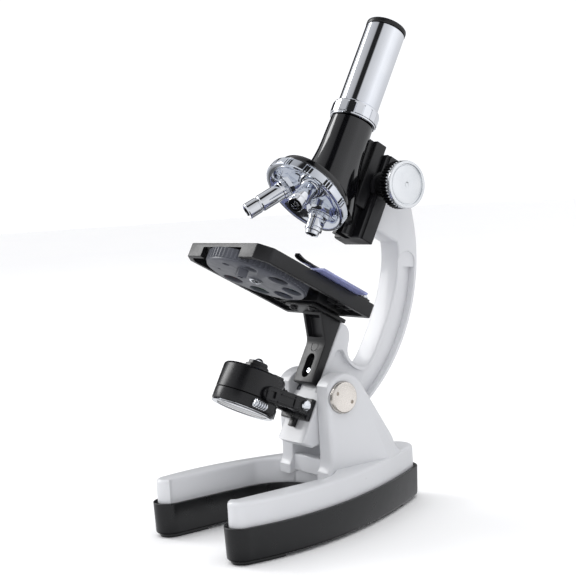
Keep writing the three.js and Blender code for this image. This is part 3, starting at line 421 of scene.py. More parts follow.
# Bright plate. Its marks run round the tube.
brightChrome = finish("bright_chrome", ("#eceef2", "#e2e5ea"), 0.05, 0.02, metallic=1.0, tone=15,
                      grain=1.0,
                      relief=0.0008)
tubeChrome = finish("tube_chrome", ("#f0f2f6", "#e6e9ef"), 0.07, 0.025, metallic=1.0, tone=18,
                    marks=(armSpace, False, 0.15, 0.0006))
turretChrome = finish("turret_chrome", ("#e3e6ec", "#d3d8e0"), 0.07, 0.03, metallic=1.0, tone=9,
                      marks=(turretSpace, True, 0.2, 0.0012))
# Spun silver face of the focus knobs: rings round their shaft.
knobAxis = (knobSpace[0], np.array([[0, 1, 0], [0, 0, 1], [1.0, 0, 0]]))
spunSilver = finish("spun_silver", ("#eceef0", "#e2e5e8"), 0.24, 0.02, metallic=0.85, tone=12,
                    marks=(knobAxis, True, 0.25, 0.0012))
pivotAxis = (pivotPoint, np.array([[0, 1, 0], [0, 0, 1], [1.0, 0, 0]]))
warmNickel = finish("warm_nickel", ("#ebe5de", "#e0dad3"), 0.26, 0.02, metallic=0.8, tone=9,
                    marks=(pivotAxis, True, 0.6, 0.0004))
zincSteel = finish("zinc_steel", ("#b4b6bb", "#9b9ea5"), 0.28, 0.07, metallic=1.0, tone=3, grain=0.4,
                   relief=0.003)
machinedBrass = finish("machined_brass", ("#b8954f", "#a3803d"), 0.28, 0.06, metallic=1.0, tone=3)
silvered = finish("silvered_glass", ("#f2f4f7", "#edf0f4"), 0.02, 0.01, metallic=1.0, tone=20,
                  relief=0.0001)
clearGlass = finish("clear_glass", ("#f4f6fb", "#eef1f8"), 0.02, 0.01, see=1.0, ior=1.52, relief=0.0001)
slideGlass = finish("slide_glass", ("#a7adda", "#b1b6e0"), 0.06, 0.03, see=0.55, ior=1.52, relief=0.0002)
gelLooks = {
    "filter_teal": finish("teal_film", ("#0f5d66", "#156a72"), 0.16, 0.04, see=0.35, relief=0.002),
    "filter_blue": finish("blue_film", ("#17357d", "#1d3f8a"), 0.16, 0.04, see=0.35, relief=0.002),
    "filter_green": finish("green_film", ("#1f7a2a", "#279035"), 0.16, 0.04, see=0.35, relief=0.002),
    "filter_red": finish("red_film", ("#7a1f18", "#8c2a20"), 0.16, 0.04, see=0.35, relief=0.002),
}
print("materials ready")


# Inner nodes keep their CAD shape and get a finish.
def dress(material, *nodes):
    for node in nodes:
        data = frame["nodes"][node].data
        data.materials.clear()
        data.materials.append(material)


# Base.
trimLow, trimHigh = span("base_trim", baseSpace)
castLow = span("base_casting", baseSpace)[0]
base = {
    "toeInner": 19.5, "toeWidth": 13.9, "hip": 40.0, "rearRadius": 10.0, "flank": 28.4, "wall": 1.9,
    "skirtTop": 14.6, "floor": 1.5, "castingTop": 24.2, "innerSlope": 3.6, "cheekInner": 9.5,
    "cheekThickness": 8.1, "cheekFront": -7.0, "cheekRadius": 10.85, "cheekRise": -1.0, "cheekShift": 2.0,
    "cheekSlope": 32.3, "wallTop": 27.5, "round": 1.5,
}


# The horseshoe seen from above: two toes, drawn-in flanks, a round heel and a round inner end.
def horseshoe(inset):
    toeRadius = base["toeWidth"] / 2
    toeX = base["toeInner"] + toeRadius
    toeY = trimLow[1] + toeRadius
    rearY = trimHigh[1] - base["rearRadius"]
    flank = math.radians(base["flank"])
    reach = (trimHigh[1] - trimLow[1]) / 3
    tangent = np.array([base["rearRadius"] * math.cos(flank),
                        rearY + base["rearRadius"] * math.sin(flank)])
    low = tangent + reach * np.array([math.sin(flank), -math.cos(flank)])
    right = np.concatenate([
        arc((toeX, toeY), toeRadius, 180, 360, 33)[:-1],
        curve((toeX + toeRadius, toeY), (base["hip"], toeY + reach * 0.87), low, tangent, 48)[:-1],
        arc((0, rearY), base["rearRadius"], base["flank"], 90, 16)[:-1],
    ])
    left = (right * [-1, 1])[::-1]
    inner = arc((0, base["cheekFront"] - base["toeInner"] + 3), base["toeInner"], 180, 0, 40)
    legs = np.linspace(0, 1, 12)[1:-1, None]
    down = np.array([-base["toeInner"], toeY]) * (1 - legs) + inner[0] * legs
    up = (down * [-1, 1])[::-1]
    outline = np.concatenate([right, left, down, inner, up])
    return drawnIn(anticlockwise(distinct(outline)), inset)


# Extra inset of the inner sides, which lean towards the toes' outer sides as they rise.
def innerLean(outline, share):
    inside = np.clip((base["toeInner"] + base["wall"] + 0.6 - np.abs(outline[:, 0])) / 1.2, 0, 1)
    inside *= (outline[:, 1] < base["cheekFront"] + 2)
    return inside * base["innerSlope"] * np.clip(share * 1.3 - 0.3, 0, 1)


# One cheek from the side: upright front, round top, straight rear slope, both flared at the foot.
def cheek():
    facing = math.radians(base["cheekSlope"])
    centre = np.array([base["cheekShift"], base["cheekRise"]])
    radius = base["cheekRadius"]
    start = math.degrees(math.acos((base["cheekFront"] - centre[0]) / radius))
    leave = centre + radius * np.array([math.cos(facing), math.sin(facing)])
    floor = base["castingTop"] - pivotPoint[2] / mm - 5
    run = (leave[1] - floor) * math.tan(facing)
    foot = np.array([leave[0] + run, floor])
    low = base["castingTop"] - pivotPoint[2] / mm
    flare = 6.0
    front = curve((base["cheekFront"], low + flare), (base["cheekFront"], low + flare * 0.3),
                  (base["cheekFront"] - 0.6, low), (base["cheekFront"] - 2.0, low - 1.2), 8)
    slope = (foot - leave) / np.linalg.norm(foot - leave)
    turnPoint = leave + (foot - leave) * 0.74
    rear = curve(turnPoint, turnPoint + slope * 4, (foot[0] - 1, low + 0.3), (foot[0] + 5, low - 1.2), 10)
    top = arc(centre, radius, base["cheekSlope"], start, 40)
    return np.concatenate([[(foot[0] + 5, floor)], rear[::-1], top, front,
                           [(base["cheekFront"] - 2.0, floor)]])


def baseCastingPiece():
    skirt = slab(horseshoe(base["wall"]), castLow[2], base["castingTop"], base["round"], 5, 0.3,
                 innerLean)
    outer = base["cheekInner"] + base["cheekThickness"]
    height = pivotPoint[2] / mm
    side = alongX(slab(cheek(), base["cheekInner"], outer, 1.6, 5, 0.5))
    # The cheek's rear corner ends flush with the casting's wall.
    footing = joined(slab(horseshoe(base["wall"] + 0.4), base["castingTop"] - 6, 90, 0.1, 1),
                     block(-30, 30, -20, 20, base["castingTop"] - 7, 91, 0.1))
    side = boolean(moved(side, (0, 0, height)), [footing], "INTERSECT")
    web = block(-base["cheekInner"] - 1, base["cheekInner"] + 1, base["cheekFront"] + 0.8,
                base["cheekFront"] + 4.5, base["castingTop"] - 4, base["wallTop"], 0.8)
    bore = alongX(rod(3.3, -30, 30))
    solid = joined(skirt, side, mirrored(side), web)
    # A fine parting groove round each pivot cap.
    ring = turned([[5.5, outer - 1.2], [6.85, outer - 1.2], [6.85, outer + 1], [5.5, outer + 1]], 96)
    rings = [moved(alongX(ring), (0, 0, height)), moved(mirrored(alongX(ring)), (0, 0, height))]
    solid = without(solid, moved(bore, (0, 0, height)), *rings)
    show("baseCasting", solid, baseSpace, ["base_casting"], whiteEnamel, 28, 0.35)


def baseTrimPiece():
    outline = horseshoe(0)
    tray = slab(outline, base["floor"], base["skirtTop"], 0.35, 3, 0.9,
                lambda points, share: np.full(len(points), 0.5 * (1 - share)))
    recess = slab(horseshoe(1.55), base["floor"] + 2.5, base["skirtTop"] + 2, 0.1, 1)
    pad = slab(horseshoe(1.9), 0.0, base["floor"] + 1, 0.3, 2, 0.5)
    low, high = trimLow[1], trimHigh[1]
    toes = block(-50, 50, low - 1, low + 22, -1, base["floor"] + 3, 0.4)
    heel = block(-50, 50, high - 18.7, high + 1, -1, base["floor"] + 3, 0.4)
    pads = boolean(pad, [stacked(toes, heel)], "INTERSECT")
    pockets = [moved(rod(2.8, -1, base["floor"] + 1.2), (side * 26.45, low + 32, 0)) for side in (1, -1)]
    solid = without(joined(tray, pads), recess, *pockets)
    show("baseTrim", solid, baseSpace, ["base_trim"], skirtBlack, 30, 0.25)


def pivotCapPieces():
    low, high = span("pivot_cap_right", (pivotPoint, baseSpace[1]))
    radius = (high[1] - low[1]) / 2
    face = high[0]
    seat = face - 1.9
    profile = [[0, seat - 2.4], [2.8, seat - 2.4], [2.8, seat], [radius, seat], [radius, face - 0.7],
               [radius - 0.25, face - 0.25], [radius - 0.7, face], [radius - 1.1, face - 0.06],
               [radius - 1.9, face - 0.2], [radius * 0.4, face - 0.4], [0.5, face - 0.42],
               [0, face - 0.42]]
    plain = turned(profile, 96)
    holes = [moved(rod(0.8, face - 1.4, face + 1, 0.05, 24), (end * 3.7, end * -2.2, 0)) for end in (-1,
        1)]
    cap = alongX(without(plain, *holes))
    space = (pivotPoint, baseSpace[1])
    show("pivotCapRight", cap, space, ["pivot_cap_right"], warmNickel, 30, 0.08)
    show("pivotCapLeft", mirrored(cap), space, ["pivot_cap_left"], warmNickel, 30, 0.08)


baseCastingPiece()
baseTrimPiece()
pivotCapPieces()
dress(zincSteel, "pivot_bolt", "base_screw_right", "base_screw_left")
print("base done")

# Arm.
armLow, armHigh = span("arm", armSpace)
knobPlace = (knobSpace[0] - armSpace[0]) @ armSpace[1].T / mm
armDims = {
    "half": 6.0, "radius": 80.0, "backHeight": 40.0, "wall": 13.0, "headUnder": 75.7, "headDepth": 14.9,
    "lugTop": 31.2, "shoulder": (3.8, 23.8), "throat": 18.1, "footHalf": 8.9, "rim": 1.8, "shallow": 0.8,
    "deep": 3.4, "bandFront": 7.0, "pocketFront": -1.9,
}


def armOutline():
    front, back = armLow[1], armHigh[1]
    dims = armDims
    centre = (back - dims["radius"], dims["backHeight"])
    bottom, top = armLow[2], armHigh[2]
    angles = [math.degrees(math.asin((height - centre[1]) / dims["radius"])) for height in (bottom, top)]
    inner = back - dims["wall"]
    corner = (front + dims["headDepth"], dims["headUnder"])
    shoulder = dims["shoulder"]
    throat = dims["throat"]
    return np.concatenate([
        [(front, bottom)],
        arc(centre, dims["radius"], angles[0], angles[1], 70),
        [(front, top), (front, corner[1]), (corner[0] - 1.2, corner[1])],
        curve(corner, (corner[0] + 6.2, corner[1] - 7.7), (inner, 52), (inner, 42), 24),
        curve((inner, 41), (inner, throat + 6), (inner - 0.5, throat), (inner - 6, throat), 24),
        curve((inner - 6.4, throat), (shoulder[0] + 3.6, throat - 0.1), (shoulder[0] + 0.8, throat + 1.8),
              shoulder, 16),
        curve((shoulder[0] - 0.1, shoulder[1] + 0.5), (shoulder[0] - 0.5, dims["lugTop"] - 3.6),
              (shoulder[0] - 2.2, dims["lugTop"] - 0.6), (front + 3.6, dims["lugTop"]), 12),
        [(front, dims["lugTop"])],
    ])


# The recess in each side: a shallow floor that follows the C and runs forward under the throat.
def armRecess():
    dims = armDims
    centre = (armHigh[1] - dims["radius"], dims["backHeight"])
    outer = dims["radius"] - dims["rim"]
    inner = armHigh[1] - dims["wall"] + dims["rim"] * 0.8
    throat, front, shoulder = dims["throat"], dims["pocketFront"], dims["shoulder"]
    low, high = -24, 24.2
    innerRadius = inner - centre[0]
    middle, half = (outer + innerRadius) / 2, (outer - innerRadius) / 2
    topAt = np.array(centre) + middle * np.array([math.cos(math.radians(high)),
                                                  math.sin(math.radians(high))])
    return np.concatenate([
        arc(centre, outer, low, high, 60)[:-1],
        arc(topAt, half, high, high + 180, 16)[:-1],
        arc(centre, innerRadius, high, -6, 40)[:-1],
        curve((inner - 0.6, throat + 12.5), (inner - 0.6, throat + 3), (inner - 3, throat - dims["rim"]),
              (inner - 8, throat - dims["rim"]), 20),
        curve((inner - 8.4, throat - dims["rim"]), (shoulder[0] + 2.4, throat - 1.6),
              (shoulder[0] + 0.8, throat + 0.4),
              (shoulder[0] - 1.2, throat + 2.0), 12),
        curve((shoulder[0] - 1.8, throat + 2.4), (front + 2, throat + 2.9), (front, throat + 2),
              (front, throat - 1), 10),
        [(front, 2.0)],
    ])


# The deeper band: its floor slopes down towards the outer rim. Rings of four corners follow the
# arc; each is (distance from the arc's centre, sideways place).
def armBand():
    dims = armDims
    centre = np.array([armHigh[1] - dims["radius"], dims["backHeight"]])
    outer = dims["radius"] - dims["rim"] - 0.02
    near = outer - dims["bandFront"]
    side = dims["half"]
    corners = [(near, side + 3), (near, side - dims["shallow"] + 0.05), (outer, side - dims["deep"]),
               (outer, side + 3)]
    rings = []
    for angle in np.radians(np.linspace(-24, 22.5, 60)):
        way = np.array([math.cos(angle), math.sin(angle)])
        rings.append([[sideways, *(centre + reach * way)] for reach, sideways in corners])
    return ringsToSolid(np.array(rings))


# The hollow under the throat: deepest against the rim above it, fading downwards.
def armHollow():
    dims = armDims
    throat, front = dims["throat"], dims["pocketFront"]
    top = [(front + 0.3, throat + 1.2), (front + 1.5, throat + 2.1), (front + 4, throat + 2.2),
           (5.2, throat - 0.2),
           (8.7, throat - 1.4), (12.6, throat - 1.9), (17, throat - 1.4)]
    depths = [0.9, 1.9, 2.3, 2.4, 2.1, 1.5, 0.85]
    side = dims["half"]
    rings = []
    for (y, z), depth in zip(top, depths):
        rings.append([[side + 3, y, z], [side - depth, y, z], [side - dims["shallow"] + 0.05, y, z - 9],
                      [side + 3, y, z - 9]])
    return ringsToSolid(np.array(rings))


def armPiece():
    dims = armDims
    web = alongX(slab(armOutline(), -dims["half"], dims["half"], 1.1, 4))
    foot = alongX(slab(armOutline(), -dims["footHalf"], dims["footHalf"], 1.0, 4))
    keep = block(-20, 20, -60, 60, armLow[2] - 1, -1, 0.2)
    foot = boolean(foot, [keep], "INTERSECT")
    above = block(-20, 20, -40, 80, 3, 200, 0.2)
    recess = alongX(slab(armRecess(), dims["half"] - dims["shallow"], dims["half"] + 3, 0.05, 2, 0.4))
    cuts = [boolean(outward(cut), [above], "INTERSECT") for cut in (recess, armBand(), armHollow())]
    bore = alongX(rod(3.3, -30, 30))
    solid = without(joined(web, foot), *cuts, *(mirrored(cut) for cut in cuts), bore)
    show("arm", solid, armSpace, ["arm"], whiteEnamel, 28, 0.4)


def guidePiece():
    low, high = span("guide_block", armSpace)
    rear = high[1]
    root = rear - 7.8
    body = block(low[0], high[0], root, rear, low[2], high[2], 0.5)
    neck = block(-3.3, 3.3, root - 2.6, root + 1, low[2], high[2], 0.15)
    head = block(-4.6, 4.6, low[1], low[1] + 2.3, low[2], high[2], 0.2)
    slot = block(-1.9, 1.9, low[1] - 1, knobPlace[1] - 1, low[2] - 1, high[2] + 1, 0.1)
    well = block(-1.9, 1.9, low[1] - 1, knobPlace[1] + 3.5, knobPlace[2] - 3.5, knobPlace[2] + 3.5, 0.1)
    bore = moved(alongX(rod(1.8, -30, 30)), (0, knobPlace[1], knobPlace[2]))
    # Shallow bosses round the shaft, and a step along each side.
    boss = moved(alongX(rod(6.2, high[0] - 1, high[0] + 0.25, 0.2)),
                 (0, knobPlace[1] + 0.2, knobPlace[2]))
    step = block(high[0] - 1.0, high[0] + 2, root - 1, root + 1.6, low[2] - 2, high[2] + 2, 0.2)
    screw = moved(alongY(rod(2.2, low[1] - 5, rear - 3.2)), (0, 0, armDims["headUnder"] + 5))
    solid = joined(body, neck, head, boss, mirrored(boss))
    solid = without(solid, slot, well, bore, step, mirrored(step), screw)
    show("guideBlock", solid, armSpace, ["guide_block"], satinBlack, 30, 0.22)


armPiece()
guidePiece()
dress(zincSteel, "guide_screw", "yoke_base_screw", "pinion_shaft")
dress(machinedBrass, "rack", "pinion")
print("arm done")


# Stage.
stageLow, stageHigh = span("stage_plate", armSpace)
discHigh = span("filter_disc", armSpace)[1]
discPlace = (discSpace[0] - armSpace[0]) @ armSpace[1].T / mm
stage = {
    "chamfer": 5.0, "wall": 2.2, "skin": 1.6, "windowHalf": 13.7, "windowSkin": 1.9, "hole": 4.0,
    "optical": -30.4, "flangeHalf": 9.5, "flangeFront": -24.6, "clipX": 25.0, "clipPinY": -12.5,
}


def stageOutline(inset):
    half = stageHigh[0] - inset
    front, rear = stageLow[1] + inset, stageHigh[1] - inset
    cut = stage["chamfer"] - inset * 0.6
    corners = [(-half, rear), (-half, front + cut), (-half + cut, front), (half - cut, front),
               (half, front + cut), (half, rear)]
    return softened(corners[::-1], [1.6, 0.7, 0.7, 0.7, 0.7, 1.6], 5)


def stagePiece():
    low, high = stageLow[2], stageHigh[2]
    skin = high - stage["skin"]
    shell = slab(stageOutline(0), low, high, 0.5, 3, 0.2)
    hollow = slab(stageOutline(stage["wall"]), low - 2, skin, 0.5, 3, 0.0)
    window = block(-stage["windowHalf"], stage["windowHalf"], stageLow[1] - 2, stageLow[1] + 4, low - 3,
                   high - stage["windowSkin"], 0.3)
    hole = moved(rod(stage["hole"], low - 3, high + 2, 0.1, 64), (0, stage["optical"], 0))
    # The rim of the light hole is dished.
    dish = moved(turned([[0, high - 0.45], [stage["hole"], high - 0.45],
                         [stage["hole"] + 1.1, high + 0.2],
                         [0, high + 0.2]], 64), (0, stage["optical"], 0))
    solid = without(shell, hollow, window, hole, dish)
    half = stageHigh[0] - stage["wall"] + 0.4
    flange = stage["flangeHalf"]
    under = [block(-flange - 2, flange + 2, stage["flangeFront"], stageHigh[1] - 0.4, low, skin + 0.5,
                   0.4),
             moved(rod(3.0, discHigh[2] - disc["depth"] + 1.7, skin + 0.5, 0.1), (0, discPlace[1], 0))]
    # Thin ribs stiffen the rear of the shell from below.
    for x in (-22.5, -17.0, 17.0, 22.5):
        under.append(block(x - 0.5, x + 0.5, stage["flangeFront"] + 1, stageHigh[1] - 0.5, low + 1.2,
                           skin + 0.5, 0.15))
    for y in (-19.0, -14.0):
        under.append(block(-half, -flange - 1, y - 0.5, y + 0.5, low + 1.2, skin + 0.5, 0.15))
        under.append(block(flange + 1, half, y - 0.5, y + 0.5, low + 1.2, skin + 0.5, 0.15))
    solid = joined(solid, *under)
    bores = [moved(rod(1.4, low - 6, skin + 0.6, 0.05, 24), (0, discPlace[1], 0))]
    for side in (-1, 1):
        bores.append(moved(rod(1.4, low - 1, skin - 0.4, 0.05, 24),
                           (side * 6.5, stage["flangeFront"] + 3, 0)))
        bores.append(moved(rod(1.4, skin - 1, high + 1, 0.05, 24),
                           (side * stage["clipX"], stage["clipPinY"], 0)))
    solid = without(solid, *bores)
    show("stagePlate", solid, armSpace, ["stage_plate"], satinBlack, 30, 0.15)


# The filter disc: a ribbed rim, a flat face with a ring of openings, and a lug for the finger.
disc = {"radius": 21.9, "plate": 1.4, "depth": 5.2, "finger": (5.5, -10.9, 0), "ribs": 64,
        "ribDepth": 0.55, "reach": 15.9, "wall": 1.3}
discHoles = [(0, 4.2), (45, 4.2), (90, 4.2), (135, 4.2), (180, 4.2), (225, 0.5), (270, 1.4), (315, 2.6)]


def discPiece():
    low, high = discHigh[2] - disc["depth"] - discPlace[2], discHigh[2] - discPlace[2]
    radius = disc["radius"]

    # Radius falls and rises between ribs, as a flattened cosine of the angle.
    def ribs(radii, heights, angles):
        wave = np.clip(np.cos(angles * disc["ribs"]) * 1.6, -1, 1) * 0.5 - 0.5
        outer = (radii > radius - 0.3) & (heights > low + 0.9)
        return radii + np.where(outer, wave * disc["ribDepth"], 0)

    profile = [[0, low], [radius - 1.0, low], [radius - 0.7, low + 0.12], [radius - 0.55, low + 0.35],
               [radius - 0.55, low + 0.95], [radius, low + 1.1], [radius, high - 0.25],
               [radius - 0.3, high],
               [radius - disc["wall"], high], [radius - disc["wall"], low + disc["plate"]],
               [0, low + disc["plate"]]]
    wheel = turned(profile, 512, ribs)
    reach = disc["reach"]
    holes = [rod(1.4, low - 1, high + 1, 0.05, 24)]
    for angle, size in discHoles:
        at = (reach * math.cos(math.radians(angle)), reach * math.sin(math.radians(angle)), 0)
        flare = turned([[0, low - 0.1], [size + 0.35, low - 0.1], [size + 0.35, low + 0.05],
                        [size, low + 0.35],
                        [size, high], [0, high]], 48)
        holes.append(moved(flare, at))
    solid = without(wheel, *holes)
    post = block(-2, 2, -2, 2, low - 3.2, low + 0.6, 0.25)
    post = without(post, block(-1.2, 1.2, -1.2, 1.2, low - 5, low - 2.6, 0.1))
    post = moved(spun(post, -17), disc["finger"])
    washer = turned([[1.4, low - 0.15], [3.3, low - 0.15], [3.5, low + 0.1], [1.4, low + 0.1]], 64)
    solid = joined(solid, post, washer)
    show("filterDisc", solid, discSpace, ["filter_disc"], discSheenGrey, 30, 0.08)
    for name, material in gelLooks.items():
        boxLow, boxHigh = span(name, discSpace)
        centre = (boxLow + boxHigh) / 2
        size = (boxHigh[0] - boxLow[0]) / 2
        film = moved(rod(size, boxLow[2], boxHigh[2], 0.08, 48), (centre[0], centre[1], 0))
        show(name + "Film", film, discSpace, [name], material, 30)


# A pan-head screw with a cross recess, its head pointing to -z.
def crossScrew(radius, seat, thick, shank, length):
    head = turned([[0, seat - thick], [radius * 0.55, seat - thick * 0.96],
                   [radius * 0.88, seat - thick * 0.6],
                   [radius, seat - thick * 0.2], [radius, seat], [shank, seat], [shank, seat + length],
                   [0, seat + length]], 40)
    depth = seat - thick * 0.35
    arms = [block(-radius * 0.55, radius * 0.55, -radius * 0.12, radius * 0.12, seat - thick - 1, depth,
                  0.05),
            block(-radius * 0.12, radius * 0.12, -radius * 0.55, radius * 0.55, seat - thick - 1, depth,
                  0.05)]
    return without(head, *arms)


def screwAt(name, node, axis, radius, thick, material=brightChrome):
    low, high = span(node, armSpace)
    middle = (low + high) / 2
    if axis == "z":
        seat = low[2] + thick
        solid = moved(spun(crossScrew(radius, seat, thick, 1.1, high[2] - seat), 20),
                      (middle[0], middle[1], 0))
    else:
        seat = low[1] + thick
        solid = alongY(spun(crossScrew(radius, seat, thick, 1.1, high[1] - seat), 25))
        solid = moved(solid, (middle[0], 0, middle[2]))
    show(name, solid, armSpace, [node], material, 30, 0.04)


def bracketPiece():
    low, high = span("stage_bracket", armSpace)
    rear, front = high[1], high[1] - 4.0
    knee, lean = 20.0, 8.1
    under = high[2] - 1.7
    side = softened([(front, low[2]), (rear, low[2]), (rear, under + 0.5), (front - lean, under + 0.5),
                     (front, knee)], [0.8, 0.8, 0.2, 0.4, 2.0], 5)
    column = alongX(slab(side, -6.5, 6.5, 0.45, 3))
    flange = block(low[0], high[0], low[1], rear, under, high[2], 0.4)
    # The upper part is hollow from the front.
    hollow = alongX(slab(softened([(front - lean - 4, under - 0.9), (front - 3.4, knee + 1.0),
                                   (front + 1.4, knee + 2.4), (front - lean + 4.4, under - 0.9)], 0.3),
                                   -4.9, 4.9, 0.2))
    slot = np.concatenate([arc((14.8 - 2.5, 0), 2.5, -90, 90, 24), arc((3.9 + 2.5, 0), 2.5, 90, 270, 24)])
    pocket = alongY(slab(slot, -30, rear - 1.5, 0.05, 1))
    # A round witness mark above the slot.
    mark = moved(alongY(turned([[2.0, front - 0.12], [2.3, front - 0.12], [2.3, front + 0.4],
                                [2.0, front + 0.4]], 48)),
                 (0, 0, 17.9))
    bores = [moved(rod(1.4, under - 2, high[2] + 1, 0.05, 24),
                   (s * 6.5, stage["flangeFront"] + 3, 0)) for s in (-1, 1)]
    bore = moved(alongY(rod(1.4, -30, 5, 0.05, 24)), (0, 0, 7.4))
    solid = without(joined(column, flange), hollow, pocket, bore, mark, *bores)
    show("stageBracket", solid, armSpace, ["stage_bracket"], satinBlack, 30, 0.18)


def slidePiece():
    low, high = span("glass_slide", armSpace)
    solid = block(low[0], high[0], low[1], high[1], low[2], high[2], 0.12)
    show("glassSlide", solid, armSpace, ["glass_slide"], slideGlass, 30)


# A spring clip: a black strip that rises over the slide, its tip rolled up.
def clipPieces():
    low, high = span("clip_right", armSpace)
    bottom = low[2]
    thick = 0.8
    rear, tip = high[1], low[1]
    raised = bottom + 1.5
    pin = stage["clipPinY"]
    line = np.concatenate([
        [(rear, bottom), (pin - 2.6, bottom)],
        curve((pin - 3, bottom), (pin - 3.8, bottom), (pin - 3.9, raised), (pin - 4.8, raised), 8),
        [(tip + 8.5, raised - 0.1)],
        curve((tip + 7, raised), (tip + 4, raised), (tip + 2, raised + 0.2), (tip + 0.3, raised + 1.3),
              10),
    ])
    step = np.gradient(line, axis=0)
    step /= np.linalg.norm(step, axis=1, keepdims=True)
    normal = np.stack([step[:, 1], -step[:, 0]], 1)
    upper = line + normal * thick * np.where(normal[:, 1:2] > 0, 1, -1)
    outline = np.concatenate([line, upper[::-1]])
    strip = alongX(slab(outline, -2, 2, 0.25, 3))
    # Seen from above its ends are round.
    keepShape = np.concatenate([arc((0, rear - 2), 2, 0, 180, 20), arc((0, tip + 2.2), 2, 180, 360, 20)])
    keep = slab(keepShape, bottom - 1, raised + 6, 0.05, 1)
    hole = moved(rod(1.4, bottom - 1, bottom + 3, 0.05, 24), (0, pin, 0))
    strip = without(boolean(strip, [keep], "INTERSECT"), hole)
    for name, node, x in (("clipRight", "clip_right", stage["clipX"]),
                          ("clipLeft", "clip_left", -stage["clipX"])):
        show(name, moved(strip, (x, 0, 0)), armSpace, [node], pianoBlack, 30, 0.06)
    for side, node in ((1, "clip_pin_right"), (-1, "clip_pin_left")):
        pinLow, pinHigh = span(node, armSpace)
        radius = (pinHigh[0] - pinLow[0]) / 2
        seat = bottom + thick + 0.3
        top = pinHigh[2]
        rivet = turned([[0, pinLow[2]], [1.1, pinLow[2]], [1.1, seat], [radius, seat],
                        [radius, seat + 0.25],
                        [radius * 0.9, seat + 0.6], [radius * 0.62, top - 0.12],
                        [radius * 0.3, top - 0.01],
                        [0, top]], 48)
        rivet = moved(rivet, (side * stage["clipX"], pin, 0))
        show("clipPin" + ("Right" if side > 0 else "Left"), rivet, armSpace, [node], brightChrome, 35)


stagePiece()
discPiece()
bracketPiece()
slidePiece()
clipPieces()
screwAt("filterScrew", "filter_screw", "z", 2.5, 1.0)
screwAt("bracketScrew", "bracket_screw", "y", 1.9, 1.2)
screwAt("stageScrewRight", "stage_screw_right", "z", 1.9, 1.0, lampBlack)
screwAt("stageScrewLeft", "stage_screw_left", "z", 1.9, 1.0, lampBlack)
print("stage done")

# Tube and focus.
tubeLow, tubeHigh = span("body_tube", armSpace)
onTube = (0, stage["optical"], 0)
tube = {"bore": 8.0, "radius": 9.7, "flare": 11.6, "neckHalf": 4.8, "railNeck": 3.3, "railHead": 4.6}


# Outer radius of the body tube: wide at its foot, then a gentle taper.
def tubeProfile(fit):
    low, high = tubeLow[2], tubeHigh[2]
    wall = curve((tube["flare"] + fit, low), (tube["flare"] - 0.9 + fit, low + 4.5),
                 (tube["radius"] + 0.25 + fit, low + 8.5), (tube["radius"] + 0.1 + fit, low + 14), 16)
    top = curve((tube["radius"] + 0.1 + fit, low + 14.5), (tube["radius"] + fit, low + 18),
                (tube["radius"] + fit, high - 6), (tube["radius"] - 0.25 + fit, high - 0.3), 8)
    return np.concatenate([wall, top, [(tube["radius"] - 0.5 + fit, high)]])


def tubePieces():
    outline = np.concatenate([[(tube["bore"], tubeLow[2])], tubeProfile(0),
                              [(tube["bore"], tubeHigh[2])]])
    low, high = span("slider", armSpace)
    room = block(low[0] - 0.3, high[0] + 0.3, sliderFace - 0.3, 5, low[2] - 0.3, high[2] + 0.3, 0.3)
    body = without(moved(turned(outline, 128), onTube), room)
    show("bodyTube", body, armSpace, ["body_tube"], pianoBlack, 30)

    plate = block(low[0], high[0], sliderFace, high[1], low[2], high[2], 0.5)
    neck = block(-tube["neckHalf"], tube["neckHalf"], sliderFace - 5, sliderFace + 0.5, tubeLow[2] + 3,
                 high[2] - 0.3, 0.5)
    hollow = moved(turned(np.concatenate([[(0, 60), (tube["flare"] + 0.3, 60)], tubeProfile(0.3),
                                          [(0, tubeHigh[2])]]),
                          96), onTube)
    hollow = boolean(hollow, [block(-20, 20, -60, sliderFace, 0, 200, 0.1)], "INTERSECT")
    guideRear = span("guide_block", armSpace)
    root = guideRear[1][1] - 7.8
    rail = joined(block(-3.6, 3.6, root - 2.4, root + 3, low[2] - 2, high[2] + 2, 0.1),
                  block(-4.9, 4.9, guideRear[0][1] - 0.3, root - 2.0, low[2] - 2, high[2] + 2, 0.1))
    grooves = [block(s * 5.7 - 0.35, s * 5.7 + 0.35, sliderFace - 2, sliderFace + 0.5, low[2] - 2,
                     high[2] + 2, 0.1)
               for s in (-1, 1)]
    solid = without(joined(plate, neck), hollow, rail, *grooves)
    show("slider", solid, armSpace, ["slider"], satinBlack, 30, 0.15)


# Facets round a nut: a regular polygon's radius, with a narrow notch at each corner.
def faceted(count, notch, low, high):
    def wave(radius, height, angle):
        share = np.mod(angle * count / (2 * math.pi), 1) - 0.5
        flat = math.cos(math.pi / count) / np.cos(share * 2 * math.pi / count)
        groove = notch * np.clip((np.abs(share) - 0.43) / 0.03, 0, 1)
        return np.where((height > low) & (height < high), radius * flat - groove, radius)
    return wave


def collarPiece():
    low, high = span("collar", armSpace)
    radius = (high[0] - low[0]) / 2
    bottom, top = low[2], high[2]
    profile = [[7.9, bottom], [radius - 0.9, bottom], [radius - 0.5, bottom + 0.3],
               [radius - 0.45, bottom + 0.9],
               [radius, bottom + 1.1], [radius, top - 1.5], [radius - 0.15, top - 1.3],
               [radius - 0.5, top - 1.15],
               [radius - 0.55, top - 0.4], [radius - 0.9, top], [7.9, top]]
    solid = moved(turned(profile, 432, faceted(18, 0.3, bottom + 1.0, top - 1.45)), onTube)
    show("collar", solid, armSpace, ["collar"], brightChrome, 12)


